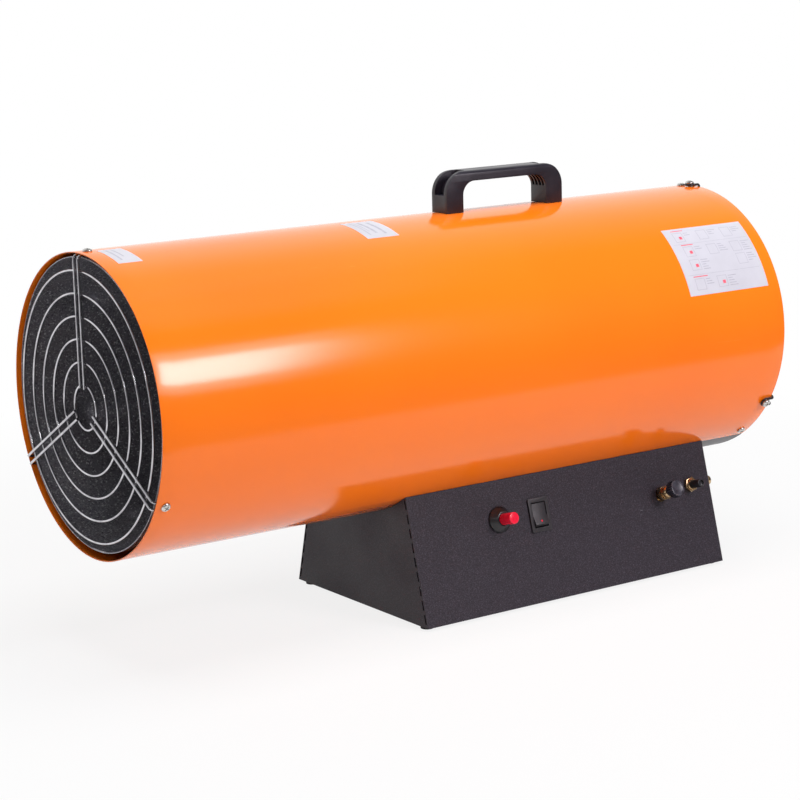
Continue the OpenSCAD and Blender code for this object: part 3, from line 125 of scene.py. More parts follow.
def finishOf(name, look):
    # a plain finish: two close shades in soft patches, uneven roughness and a fine grain
    material, tree, shader, spot = startMaterial(name)
    patches = add(tree, "ShaderNodeTexNoise", {"Scale": 1 / (look["patchMm"] * mm), "Detail": 4.0},
                  {"Vector": spot})
    shades = add(tree, "ShaderNodeValToRGB",
                 {"stops": ((0.36, look["colour"]), (0.66, look["shade"]))},
                 {"Fac": patches.outputs[0]})
    tree.links.new(shades.outputs[0], shader.inputs["Base Color"])
    shader.inputs["Metallic"].default_value = look.get("metallic", 0.0)
    shader.inputs["Coat Weight"].default_value = look.get("coat", 0.0)
    grain = add(tree, "ShaderNodeTexNoise", {"Scale": 1 / (look["grainMm"] * mm), "Detail": 3.0},
                {"Vector": spot})
    rough = (look["roughness"] - look["spread"], look["roughness"] + look["spread"])
    texture(tree, shader, patches, (0.3, 0.7), rough, grain, look["grain"])
    return material


def newObject(name, mesh, material=None, smooth=True):
    piece = bpy.data.objects.new(name, mesh)
    bpy.context.scene.collection.objects.link(piece)
    if material:
        mesh.materials.clear()
        mesh.materials.append(material)
    if smooth:
        for face in mesh.polygons:
            face.use_smooth = True
    return piece


def meshFrom(name, points, faces, edges=()):
    mesh = bpy.data.meshes.new(name)
    mesh.from_pydata([tuple(p) for p in points], edges, faces)
    mesh.update()
    return mesh


def meshOf(name, form):
    # a mesh of the edited form, which it uses up
    mesh = bpy.data.meshes.new(name)
    form.to_mesh(mesh)
    form.free()
    return mesh


def weld(mesh, distance, flat=0):
    # joins points within a distance in mm, and faces that are flat within some degrees
    form = bmesh.new()
    form.from_mesh(mesh)
    bmesh.ops.remove_doubles(form, verts=form.verts, dist=distance * mm)
    if flat:
        bmesh.ops.dissolve_limit(form, angle_limit=math.radians(flat), verts=form.verts,
                                 edges=form.edges)
    form.to_mesh(mesh)
    form.free()


def applied(piece):
    # replaces a piece's modifiers by their result
    graph = bpy.context.evaluated_depsgraph_get()
    graph.update()
    result = bpy.data.meshes.new_from_object(piece.evaluated_get(graph))
    piece.modifiers.clear()
    piece.data = result
    return piece


def shadeByAngle(piece, degrees):
    # smooth over gentle edges and sharp over the others
    mesh = piece.data
    form = bmesh.new()
    form.from_mesh(mesh)
    for edge in form.edges:
        edge.smooth = len(edge.link_faces) == 2 and edge.calc_face_angle(0) < math.radians(degrees)
    for face in form.faces:
        face.smooth = True
    form.to_mesh(mesh)
    form.free()


def place(piece, node, body="heater"):
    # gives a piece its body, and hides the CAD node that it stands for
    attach(piece, body)
    if node:
        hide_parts(node)


def startTree(name, inputs):
    # a Geometry Nodes group with its named inputs
    tree = bpy.data.node_groups.new(name, "GeometryNodeTree")
    for label, kind in inputs:
        tree.interface.new_socket(label, in_out="INPUT", socket_type="NodeSocket" + kind)
    tree.interface.new_socket("Geometry", in_out="OUTPUT", socket_type="NodeSocketGeometry")
    return tree, add(tree, "NodeGroupInput").outputs


def runNodes(name, tree, mesh, values):
    piece = newObject(name, mesh)
    modifier = piece.modifiers.new("nodes", "NODES")
    modifier.node_group = tree
    for item in tree.interface.items_tree:
        if item.item_type == "SOCKET" and item.in_out == "INPUT" and item.name in values:
            modifier[item.identifier] = values[item.name]
    return applied(piece)


def softened(name, node, material, width, body="heater", segments=2):
    # a smooth-shaded copy of the CAD node, with its arrises rounded as the real press or mould
    # leaves them where a width in mm is given
    mesh = nodes[node].data.copy()
    weld(mesh, 0.002, 0.4 if width else 0)
    piece = newObject(name, mesh, material)
    if width:
        bevel = piece.modifiers.new("arris", "BEVEL")
        bevel.width = width * mm
        bevel.segments = segments
        bevel.limit_method = "ANGLE"
        bevel.angle_limit = math.radians(35)
        applied(piece)
        # where there was no room for an arris its points lie on each other
        weld(piece.data, 0.0005)
    shadeByAngle(piece, 40)
    place(piece, node, body)


# finishes

def makeCasingPaint():
    # gloss powder coat on rolled sheet: a saturated orange film under a clear smooth skin, so
    # lamps and handle mirror in it as soft bands; faint rub marks and a slight orange peel
    look = {"colour": "FA7A14", "deep": "F77410", "rough": (0.31, 0.39), "skin": 0.14,
            "peelMm": 2.2, "peel": 0.06, "driftMm": 260}
    # thin pale rub marks, drawn wider than real so that they show
    rub = {"colour": "FF9A45", "mm": (38.46, 6.667, 2.632), "turn": (0.5, 0.2, 0.7),
           "detail": 5.0, "distortion": 2.0, "from": 0.73, "full": 0.84, "most": 0.45}
    material, tree, shader, spot = startMaterial("powderCoatGlossOrange")
    drift = add(tree, "ShaderNodeTexNoise", {"Scale": 1 / (look["driftMm"] * mm), "Detail": 2.0},
                {"Vector": spot})
    ramp = add(tree, "ShaderNodeValToRGB", {"stops": ((0.36, look["colour"]), (0.7, look["deep"]))},
               {"Fac": drift.outputs[0]})
    marked(tree, shader, ramp, streaks(tree, spot, rub), rub)
    peel = add(tree, "ShaderNodeTexNoise", {"Scale": 1 / (look["peelMm"] * mm), "Detail": 2.0},
               {"Vector": spot})
    texture(tree, shader, drift, (0.35, 0.7), look["rough"], peel, look["peel"])
    # the clear skin mirrors, the pigment below it doesn't
    shader.inputs["Specular IOR Level"].default_value = 0.0
    shader.inputs["Coat Weight"].default_value = 1.0
    shader.inputs["Coat Roughness"].default_value = look["skin"]
    return material


def makeBasePaint():
    # fine-textured charcoal powder coat: a dense sandy grain that breaks up the light
    look = {"colour": "27222A", "fleck": "443C47", "low": "1A161C", "rough": (0.45, 0.56),
            "grainMm": 1.1, "grain": 0.55, "grainDeep": 0.15, "broadMm": 71.43}
    # a few pale hairline scuffs, wider than real too
    scuff = {"colour": "8D8990", "mm": (29.41, 3.846, 11.11), "turn": (0.3, 0.9, 0.4),
             "detail": 4.0, "distortion": 3.0, "from": 0.74, "full": 0.8, "most": 0.6}
    material, tree, shader, spot = startMaterial("texturedPowderCoatCharcoal")
    grain = add(tree, "ShaderNodeTexNoise", {"Scale": 1 / (look["grainMm"] * mm), "Detail": 4.0,
                                             "Roughness": 0.65}, {"Vector": spot})
    ramp = add(tree, "ShaderNodeValToRGB",
               {"stops": ((0.34, look["low"]), (0.5, look["colour"]), (0.68, look["fleck"]))},
               {"Fac": grain.outputs[0]})
    marked(tree, shader, ramp, streaks(tree, spot, scuff), scuff)
    broad = add(tree, "ShaderNodeTexNoise", {"Scale": 1 / (look["broadMm"] * mm), "Detail": 3.0},
                {"Vector": spot})
    texture(tree, shader, broad, (0.35, 0.65), look["rough"], grain, look["grain"],
            look["grainDeep"])
    # the sandy surface scatters what a smooth coat would mirror
    shader.inputs["Specular IOR Level"].default_value = 0.3
    return material


def makeTubeSteel():
    # heat-darkened aluminised sheet: dull grey metal with a spangle of small pale flecks
    look = {"colour": "94939C", "warm": "9A969C", "broadMm": 111.1, "rough": (0.21, 0.45),
            "metallic": 0.55}
    fleck = {"colour": "FFFFFF", "mm": 1.9, "from": 0.56, "full": 0.64, "most": 1.0, "deep": 0.25}
    material, tree, shader, spot = startMaterial("heatDarkenedAluminisedSheet")
    broad = add(tree, "ShaderNodeTexNoise", {"Scale": 1 / (look["broadMm"] * mm), "Detail": 5.0},
                {"Vector": spot})
    ramp = add(tree, "ShaderNodeValToRGB", {"stops": ((0.4, look["colour"]), (0.68, look["warm"]))},
               {"Fac": broad.outputs[0]})
    flecks = add(tree, "ShaderNodeTexNoise", {"Scale": 1 / (fleck["mm"] * mm), "Detail": 5.0,
                                              "Roughness": 0.7}, {"Vector": spot})
    marked(tree, shader, ramp, flecks, fleck)
    shader.inputs["Metallic"].default_value = look["metallic"]
    texture(tree, shader, flecks, (0.3, 0.7), look["rough"], flecks, fleck["deep"])
    return material


casingPaint = makeCasingPaint()
basePaint = makeBasePaint()
tubeSteel = makeTubeSteel()
# underbody: satin dark grey paint over a joggled sheet
underbodyPaint = finishOf("satinPaintDarkGrey", {
    "colour": "423B40", "shade": "352F34", "patchMm": 40, "roughness": 0.42, "spread": 0.06,
    "grainMm": 1.4, "grain": 0.12})
# guard wire: bright nickel-chrome over drawn steel
chromeWire = finishOf("brightPlatedWire", {
    "colour": "CFCED2", "shade": "ACAAAF", "patchMm": 12, "metallic": 1.0, "roughness": 0.14,
    "spread": 0.05, "grainMm": 0.8, "grain": 0.08})
# inlet guard wire: black dip over steel, satin and a little uneven
darkWire = finishOf("blackDippedWire", {
    "colour": "1F1E21", "shade": "2A292C", "patchMm": 10, "roughness": 0.42, "spread": 0.08,
    "grainMm": 0.7, "grain": 0.15})
# fasteners: zinc plate, slightly cloudy
zincPlate = finishOf("cloudyZincPlate", {
    "colour": "DEDCD8", "shade": "B9B6B3", "patchMm": 3, "metallic": 1.0, "roughness": 0.3,
    "spread": 0.1, "grainMm": 0.5, "grain": 0.1})
# turned brass: yellow metal with fine tool marks and a brown bloom
turnedBrass = finishOf("turnedBrass", {
    "colour": "DABF9A", "shade": "A07F58", "patchMm": 5, "metallic": 1.0, "roughness": 0.24,
    "spread": 0.1, "grainMm": 0.4, "grain": 0.15})
# gas pipe: drawn copper gone dull
drawnCopper = finishOf("drawnCopperTube", {
    "colour": "C77B52", "shade": "A45F3D", "patchMm": 18, "metallic": 1.0, "roughness": 0.3,
    "spread": 0.1, "grainMm": 0.6, "grain": 0.1})
# motor: cast shells with a grey sandy skin
castAluminium = finishOf("castAluminium", {
    "colour": "B6B7BA", "shade": "9C9DA1", "patchMm": 9, "metallic": 1.0, "roughness": 0.45,
    "spread": 0.1, "grainMm": 0.9, "grain": 0.3})
# fan blades: mill-finished sheet, smoother and paler than the castings
pressedAluminium = finishOf("pressedAluminiumSheet", {
    "colour": "C2C3C6", "shade": "ABACAF", "patchMm": 30, "metallic": 1.0, "roughness": 0.34,
    "spread": 0.08, "grainMm": 0.7, "grain": 0.08})
# handle: moulded nylon with a fine spark-eroded skin
handleNylon = finishOf("mouldedNylonCharcoal", {
    "colour": "1D1A22", "shade": "25222B", "patchMm": 25, "roughness": 0.34, "spread": 0.05,
    "grainMm": 0.7, "grain": 0.3})
# igniter collar, gland and keys: moulded black with a low gloss
blackPlastic = finishOf("mouldedPlasticBlack", {
    "colour": "1B1A1D", "shade": "232226", "patchMm": 8, "roughness": 0.33, "spread": 0.06,
    "grainMm": 0.5, "grain": 0.12})
# mains switch: spark-eroded polyamide, nearly matt
switchPlastic = finishOf("mattPolyamideBlack", {
    "colour": "1E1B1F", "shade": "262327", "patchMm": 6, "roughness": 0.52, "spread": 0.05,
    "grainMm": 0.5, "grain": 0.2})
# regulator knob: phenolic worn to a bluish grey
knobPlastic = finishOf("knurledPhenolicGrey", {
    "colour": "2A2830", "shade": "3C3A44", "patchMm": 4, "roughness": 0.34, "spread": 0.08,
    "grainMm": 0.5, "grain": 0.2})
# igniter button: high gloss styrene
redPlastic = finishOf("glossStyreneRed", {
    "colour": "EE1C3C", "shade": "DE1232", "patchMm": 7, "roughness": 0.2, "spread": 0.04,
    "grainMm": 0.6, "grain": 0.05, "coat": 0.3})
# feet and grommets: dull dark rubber
blackRubber = finishOf("mattRubberBlack", {
    "colour": "1A1A1B", "shade": "242425", "patchMm": 5, "roughness": 0.8, "spread": 0.06,
    "grainMm": 0.5, "grain": 0.3})
# terminal block: undyed nylon, warm and milky
naturalNylon = finishOf("naturalNylon", {
    "colour": "D9D3C3", "shade": "CEC7B5", "patchMm": 12, "roughness": 0.42, "spread": 0.05,
    "grainMm": 0.6, "grain": 0.1})
# electrode's insulator: ivory porcelain under a wet-looking glaze
porcelain = finishOf("glazedPorcelain", {
    "colour": "EEEAE0", "shade": "E2DDCF", "patchMm": 9, "roughness": 0.14, "spread": 0.03,
    "grainMm": 1.2, "grain": 0.05, "coat": 0.5})
# labels: satin self-adhesive vinyl, cool white, with flat screen-printed ink
labelVinyl = finishOf("satinVinylWhite", {
    "colour": "BFBFC7", "shade": "B9B9C1", "patchMm": 30, "roughness": 0.36, "spread": 0.04,
    "grainMm": 1.0, "grain": 0.03})
greyInk = finishOf("printedInkGrey", {
    "colour": "A9A9B4", "shade": "9C9CA8", "patchMm": 4, "roughness": 0.42, "spread": 0.03,
    "grainMm": 0.6, "grain": 0.03})
redInk = finishOf("printedInkRed", {
    "colour": "E2596C", "shade": "D64A5E", "patchMm": 4, "roughness": 0.42, "spread": 0.03,
    "grainMm": 0.6, "grain": 0.03})
print("finishes ready")

# the CAD nodes that show as they are; those not named here are plated with zinc
cadFinishes = {
    "motor_plate": underbodyPaint, "motor_can": castAluminium, "motor_front_cap": castAluminium,
    "motor_rear_cap": castAluminium, "fan_hub": castAluminium, "fan_blades": pressedAluminium,
    "diffuser_plate": tubeSteel, "burner_cup": tubeSteel, "gas_nozzle": turnedBrass,
    "nozzle_holder": turnedBrass, "electrode_insulator": porcelain,
    "overheat_thermostat": blackPlastic, "gas_pipe": drawnCopper, "pipe_nuts": turnedBrass,
    "grommets": blackRubber, "base_floor": basePaint, "igniter_body": blackPlastic,
    "switch_terminals": turnedBrass, "regulator_body": turnedBrass,
    "regulator_spindle": turnedBrass, "safety_valve_body": turnedBrass, "valve_link": turnedBrass,
    "terminal_block": naturalNylon, "terminal_screws": turnedBrass, "gland_nut": blackPlastic,
}
for nodeName, cadObject in nodes.items():
    cadObject.data.materials.clear()
    cadObject.data.materials.append(cadFinishes.get(nodeName, zincPlate))
print("CAD nodes dressed:", len(nodes))


# casing: one rolled sheet, open at the bottom where the underbody plate closes it

def onCasing(x, angle, radius):
    # x from the outlet rim, angle from +Y towards +Z
    turn = math.radians(angle)
    return (x - casing["length"] / 2, radius * math.cos(turn),
            casing["axisHeight"] + radius * math.sin(turn))


def makeCasing():
    # behind the base's front the sheet is cut away by cutHalf degrees to each side of the bottom
    size = {"steps": 240, "cutHalf": 33.5, "cutSteps": 44, "rimRound": 0.3, "rimSteps": 3}
    half, steps, cutSteps = size["cutHalf"], size["steps"], size["cutSteps"]
    angles = [270 + half + (360 - 2 * half) * i / steps for i in range(steps + 1)]
    angles += [270 - half + 2 * half * i / cutSteps for i in range(1, cutSteps)]
    stations = [0, 20 * mm, 150 * mm, base["front"], 420 * mm, 600 * mm, casing["length"] - 20 * mm,
                casing["length"]]
    form = bmesh.new()
    grid = [[form.verts.new(onCasing(x, a, casing["radius"])) for a in angles] for x in stations]
    for i in range(len(stations) - 1):
        for j in range(len(angles)):
            if stations[i] < base["front"] or j < steps:
                k = (j + 1) % len(angles)
                form.faces.new((grid[i][k], grid[i + 1][k], grid[i + 1][j], grid[i][j]))
    for vert in [v for v in form.verts if not v.link_faces]:
        form.verts.remove(vert)
    piece = newObject("casing", meshOf("casing", form), casingPaint)
    wall = piece.modifiers.new("wall", "SOLIDIFY")
    wall.thickness = casing["sheet"]
    wall.offset = -1
    rim = piece.modifiers.new("rim", "BEVEL")
    rim.width = size["rimRound"] * mm
    rim.segments = size["rimSteps"]
    rim.limit_method = "ANGLE"
    rim.angle_limit = math.radians(50)
    applied(piece)
    shadeByAngle(piece, 60)
    place(piece, "outer_shell")


makeCasing()
print("casing made")


# wire guards: Geometry Nodes sweep one hairpin, repeat it three times and add the rings

def hairpinPath(spokeX, innerRadius, legRadius, bend, gap, hookX):
    # one spoke out to the rim, over or inside it, round its screw and back again
    steps = {"spoke": 8, "bend": 8, "leg": 3, "hook": 12}
    sign = 1 if hookX > spokeX else -1
    reach = legRadius - bend - innerRadius
    points = [(spokeX, gap / 2, innerRadius + reach * i / steps["spoke"])
              for i in range(steps["spoke"] + 1)]
    for i in range(1, steps["bend"] + 1):
        turn = math.pi / 2 * i / steps["bend"]
        points.append((spokeX + sign * bend * (1 - math.cos(turn)), gap / 2,
                       legRadius - bend + bend * math.sin(turn)))
    leg = spokeX + sign * bend - hookX
    points += [(hookX + leg * (1 - i / steps["leg"]), gap / 2, legRadius)
               for i in range(1, steps["leg"] + 1)]
    back = [(x, -y, z) for x, y, z in reversed(points)]
    for i in range(1, steps["hook"]):
        turn = math.pi * i / steps["hook"]
        points.append((hookX + sign * gap / 2 * math.sin(turn), gap / 2 * math.cos(turn),
                       legRadius))
    return points + back


def guardTree():
    size = {"spokes": 3, "wireSides": 12, "ringSides": 120}
    tree, given = startTree("wireGuard", (
        ("Geometry", "Geometry"), ("Wire Radius", "Float"), ("Ring Wire Radius", "Float"),
        ("Ring Step", "Float"), ("First Ring", "Int"), ("Last Ring", "Int"),
        ("Ring Place", "Float"), ("First Turn", "Float"), ("Axis Place", "Vector"),
        ("Wire", "Material")))
    # spokes: the drawn path swept as wire, then three copies about the axis
    path = add(tree, "GeometryNodeMeshToCurve", links={"Mesh": given["Geometry"]})
    wireCircle = add(tree, "GeometryNodeCurvePrimitiveCircle", {"Resolution": size["wireSides"]},
                     {"Radius": given["Wire Radius"]})
    spoke = add(tree, "GeometryNodeCurveToMesh", {"Fill Caps": True},
                {"Curve": path.outputs[0], "Profile Curve": wireCircle.outputs[0]})
    spots = add(tree, "GeometryNodePoints", {"Count": size["spokes"]})
    index = add(tree, "GeometryNodeInputIndex")
    turn = add(tree, "ShaderNodeMath", {"operation": "MULTIPLY_ADD", 1: -math.tau / size["spokes"]},
               {0: index.outputs[0], 2: given["First Turn"]})
    spin = add(tree, "ShaderNodeCombineXYZ", links={"X": turn.outputs[0]})
    spokes = add(tree, "GeometryNodeInstanceOnPoints",
                 links={"Points": spots.outputs[0], "Instance": spoke.outputs[0],
                        "Rotation": spin.outputs[0]})
    # rings: one circle on each point of a line, scaled by its number
    ringTotal = add(tree, "ShaderNodeMath", {"operation": "SUBTRACT"},
                    {0: given["Last Ring"], 1: given["First Ring"]})
    ringCount = add(tree, "ShaderNodeMath", {"operation": "ADD", 1: 1.0}, {0: ringTotal.outputs[0]})
    ringSpots = add(tree, "GeometryNodePoints", links={"Count": ringCount.outputs[0]})
    number = add(tree, "ShaderNodeMath", {"operation": "ADD"},
                 {0: index.outputs[0], 1: given["First Ring"]})
    ringRadius = add(tree, "ShaderNodeMath", {"operation": "MULTIPLY"},
                     {0: number.outputs[0], 1: given["Ring Step"]})
    unitRing = add(tree, "GeometryNodeCurvePrimitiveCircle",
                   {"Resolution": size["ringSides"], "Radius": 1.0})
    ringPlaces = add(tree, "GeometryNodeInstanceOnPoints", {"Rotation": (0, math.pi / 2, 0)},
                     {"Points": ringSpots.outputs[0], "Instance": unitRing.outputs[0],
                      "Scale": ringRadius.outputs[0]})
    ringLines = add(tree, "GeometryNodeRealizeInstances", links={"Geometry": ringPlaces.outputs[0]})
    ringCircle = add(tree, "GeometryNodeCurvePrimitiveCircle", {"Resolution": size["wireSides"]},
                     {"Radius": given["Ring Wire Radius"]})
    rings = add(tree, "GeometryNodeCurveToMesh",
                links={"Curve": ringLines.outputs[0], "Profile Curve": ringCircle.outputs[0]})
    ringShift = add(tree, "ShaderNodeCombineXYZ", links={"X": given["Ring Place"]})
    ringsPlaced = add(tree, "GeometryNodeTransform",
                      links={"Geometry": rings.outputs[0], "Translation": ringShift.outputs[0]})
    joined = add(tree, "GeometryNodeJoinGeometry")
    tree.links.new(spokes.outputs[0], joined.inputs[0])
    tree.links.new(ringsPlaced.outputs[0], joined.inputs[0])
    lifted = add(tree, "GeometryNodeTransform",
                 links={"Geometry": joined.outputs[0], "Translation": given["Axis Place"]})
    whole = add(tree, "GeometryNodeRealizeInstances", links={"Geometry": lifted.outputs[0]})
    smooth = add(tree, "GeometryNodeSetShadeSmooth", links={"Geometry": whole.outputs[0]})
    coated = add(tree, "GeometryNodeSetMaterial",
                 links={"Geometry": smooth.outputs[0], "Material": given["Wire"]})
    add(tree, "NodeGroupOutput", links={0: coated.outputs[0]})
    return tree


def makeGuards():
    tree = guardTree()
    rim = casing["length"] / 2
    front = {"Wire Radius": 1.3 * mm, "Ring Wire Radius": 1.1 * mm, "Ring Step": 20.6 * mm,
             "First Ring": 1, "Last Ring": 6, "First Turn": 0.0, "Ring Place": 0.2 * mm,
             "Axis Place": (-rim, 0, casing["axisHeight"]), "Wire": chromeWire}
    rear = dict(front, **{"First Ring": 3, "First Turn": math.radians(2), "Ring Place": -0.2 * mm,
                          "Axis Place": (rim, 0, casing["axisHeight"]), "Wire": darkWire})
    frontPath = hairpinPath(spokeX=-1.9 * mm, innerRadius=17.6 * mm, legRadius=137.4 * mm,
                            bend=4 * mm, gap=8 * mm, hookX=10 * mm)
    rearPath = hairpinPath(spokeX=1.9 * mm, innerRadius=29 * mm, legRadius=141.9 * mm,
                           bend=2.6 * mm, gap=8 * mm, hookX=-8 * mm)
    for name, path, values, node, slot in (
            ("frontGuardWire", frontPath, front, "front_guard", "chrome_wire"),
            ("rearGuardWire", rearPath, rear, "rear_guard", "dark_wire")):
        line = meshFrom(name, path, [], [(i, i + 1) for i in range(len(path) - 1)])
        place(runNodes(name, tree, line, values), node)


makeGuards()
print("guards made")


# moulded, turned and folded pieces: smooth copies of the CAD forms, most with rounded arrises
softened("baseShell", "base_housing", basePaint, width=0)
softened("gripHandle", "handle", handleNylon, width=0.9, segments=3)
softened("switchFrame", "switch_housing", switchPlastic, width=0.35)
softened("rockerKey", "switch_rocker", switchPlastic, width=0.35, body="rocker")
softened("igniterCollar", "igniter_bezel", blackPlastic, width=0.4)
softened("igniterCap", "igniter_button", redPlastic, width=0.7, body="igniter_key",
         segments=3)
softened("flameFailureKey", "safety_valve_button", blackPlastic, width=0.4,
         body="safety_key")
softened("combustionTube", "chamber", tubeSteel, width=0)
softened("underbodySheet", "underbody_plate", underbodyPaint, width=0.35)
softened("rubberFeet", "feet", blackRubber, width=0.6)
softened("glandBody", "cable_gland", blackPlastic, width=0.4)
softened("regulatorWheel", "regulator_knob", knobPlastic, width=0.22,
         body="regulator")
softened("regulatorHexes", "regulator_nut", turnedBrass, width=0.45)
softened("flameValveHex", "safety_valve_nut", turnedBrass, width=0.45)
softened("inletFitting", "inlet_union", turnedBrass, width=0.45)
print("softened copies made")


# screws and nuts: one form each, set on their points by Geometry Nodes

def turnedForm(profile, sides):
    # a closed form from its profile of radius and height, turned about Z
    form = bmesh.new()
    line = [form.verts.new((r, 0, z)) for r, z in profile]
    edges = [form.edges.new(pair) for pair in zip(line, line[1:])]
    bmesh.ops.spin(form, geom=line + edges, cent=(0, 0, 0), axis=(0, 0, 1), steps=sides,
                   angle=math.tau, use_duplicate=False)
    bmesh.ops.remove_doubles(form, verts=form.verts, dist=0.001 * mm)
    bmesh.ops.recalc_face_normals(form, faces=form.faces)
    return form


def panHead(size):
    # seat at zero, with a cross recess pressed into the dome
    head, high, thread, shank = (size[k] * mm for k in ("head", "high", "thread", "shank"))
    profile = [(0, high), (head * 0.3, high * 0.985), (head * 0.55, high * 0.93),
               (head * 0.78, high * 0.8), (head * 0.93, high * 0.58), (head, high * 0.3),
               (head * 0.985, high * 0.06), (head * 0.94, 0), (thread, 0), (thread, -shank),
               (0, -shank)]
    screw = newObject("panHead", meshOf("panHead", turnedForm(profile, size["sides"])), zincPlate)
    tool = bmesh.new()
    for turn in (0, math.pi / 2):
        arm = Matrix.Rotation(turn, 4, "Z") @ Matrix.Translation((0, 0, high)) @ Matrix.Diagonal(
            (size["recess"] * mm, size["slot"] * mm, 2 * size["deep"] * mm, 1))
        bmesh.ops.create_cube(tool, size=1, matrix=arm)
    cutter = newObject("crossTool", meshOf("crossTool", tool))
    cut = screw.modifiers.new("recess", "BOOLEAN")
    cut.operation = "DIFFERENCE"
    cut.solver = "EXACT"
    cut.use_self = True
    cut.object = cutter
    applied(screw)
    bpy.data.objects.remove(cutter)
    shadeByAngle(screw, 38)
    return screw


def hexNut(size):
    # chamfered hexagon with its bore, seat at zero
    reach, bore, high = size["across"] / math.sqrt(3) * mm, size["bore"] * mm, size["high"] * mm
    corner, edge = reach * size["chamferIn"], size["chamferHigh"]
    form = bmesh.new()
    turns = [math.pi / 3 * k for k in range(6)]
    loops = [[form.verts.new((r * math.cos(a), r * math.sin(a), z * high)) for a in turns]
             for r, z in ((bore, 0), (corner, 0), (reach, edge), (reach, 1 - edge), (corner, 1),
                          (bore, 1))]
    for low, top in zip(loops, loops[1:] + loops[:1]):
        for k in range(6):
            form.faces.new((low[k], low[(k + 1) % 6], top[(k + 1) % 6], top[k]))
    bmesh.ops.recalc_face_normals(form, faces=form.faces)
    return newObject("hexNut", meshOf("hexNut", form), zincPlate, smooth=False)


def fastenerTree():
    tree, given = startTree("fastenerRow", (
        ("Places", "Geometry"), ("Screw", "Object"), ("Nut", "Object"), ("Nut Drop", "Float"),
        ("Turn Seed", "Int"), ("Finish", "Material")))
    facing = add(tree, "GeometryNodeInputNamedAttribute",
                 {"data_type": "FLOAT_VECTOR", "Name": "facing"})
    aim = add(tree, "FunctionNodeAlignRotationToVector", {"axis": "Z"},
              {"Vector": facing.outputs[0]})
    chance = add(tree, "FunctionNodeRandomValue", {"data_type": "FLOAT", 3: math.pi},
                 {"Seed": given["Turn Seed"]})
    spin = add(tree, "FunctionNodeAxisAngleToRotation", {"Axis": (0, 0, 1)},
               {"Angle": chance.outputs[1]})
    turned = add(tree, "FunctionNodeRotateRotation", {"rotation_space": "LOCAL"},
                 {"Rotation": aim.outputs[0], "Rotate By": spin.outputs[0]})
    joined = add(tree, "GeometryNodeJoinGeometry")
    for part in ("Screw", "Nut"):
        form = add(tree, "GeometryNodeObjectInfo", {"transform_space": "ORIGINAL"},
                   {"Object": given[part]})
        shape = form.outputs["Geometry"]
        if part == "Nut":
            drop = add(tree, "ShaderNodeCombineXYZ", links={"Z": given["Nut Drop"]})
            shape = add(tree, "GeometryNodeTransform",
                        links={"Geometry": shape, "Translation": drop.outputs[0]}).outputs[0]
        copies = add(tree, "GeometryNodeInstanceOnPoints",
                     links={"Points": given["Places"], "Instance": shape,
                            "Rotation": turned.outputs[0]})
        tree.links.new(copies.outputs[0], joined.inputs[0])
    whole = add(tree, "GeometryNodeRealizeInstances", links={"Geometry": joined.outputs[0]})
    finished = add(tree, "GeometryNodeSetMaterial",
                   links={"Geometry": whole.outputs[0], "Material": given["Finish"]})
    add(tree, "NodeGroupOutput", links={0: finished.outputs[0]})
    return tree


def fastenerRow(tree, name, node, spots, size, seed, nut=None):
    # spots: (place, direction that the head faces), in metres
    mesh = meshFrom(name, [spot for spot, _ in spots], [])
    facing = mesh.attributes.new("facing", "FLOAT_VECTOR", "POINT")
    for item, (_, way) in zip(facing.data, spots):
        item.vector = way
    helpers = [panHead(size)]
    values = {"Screw": helpers[0], "Turn Seed": seed, "Finish": zincPlate}
    if nut:
        helpers.append(hexNut(nut))
        values.update({"Nut": helpers[1], "Nut Drop": -nut["drop"] * mm})
    piece = runNodes(name, tree, mesh, values)
    for helper in helpers:
        bpy.data.objects.remove(helper)
    place(piece, node)


def around(x, angles, radius):
    # seats about the casing's axis: place and outward direction for each angle
    turns = [(angle, math.radians(angle)) for angle in angles]
    return [(onCasing(x * mm, angle, radius * mm), (0, math.cos(turn), math.sin(turn)))
            for angle, turn in turns]


def makeFasteners():
    tree = fastenerTree()
    pan = {"head": 4.5, "high": 2.6, "thread": 2, "shank": 6, "recess": 5, "slot": 1.1, "deep": 1.3,
           "sides": 32}
    smallPan = dict(pan, head=3.6, high=2.2, shank=12, recess=4.2, slot=1)
    nut = {"across": 7, "high": 3.2, "bore": 2.1, "chamferIn": 0.93, "chamferHigh": 0.14}
    # radii that the heads sit at: on the sheet, on the rear guard's wire, on the motor's plate
    seat = {"sheet": 140.1, "wire": 143.3, "plate": 33}
    fastenerRow(tree, "frontGuardScrews", "front_guard_screws",
                around(10, (90, -30, -150), seat["sheet"]), pan, seed=3)
    fastenerRow(tree, "rearGuardScrews", "rear_guard_screws",
                around(719, (92, -28, -148), seat["wire"]), dict(pan, shank=8), seed=5,
                nut=dict(nut, drop=7.8))
    fastenerRow(tree, "earthScrew", "earth_screw", around(719, (86.6,), seat["sheet"]), pan,
                seed=7, nut=dict(nut, drop=4.6))
    fastenerRow(tree, "underbodyScrews", "underbody_screws",
                around(716, (-51.2, -128.8), seat["sheet"]), pan, seed=11)
    studs = [(spot, (1, 0, 0)) for spot, _ in around(727.5, (62, 182, 302), seat["plate"])]
    fastenerRow(tree, "motorScrews", "motor_screws", studs, smallPan, seed=13)


makeFasteners()
print("fasteners made")


# threads: a sawtooth profile turned about the fitting's own axis

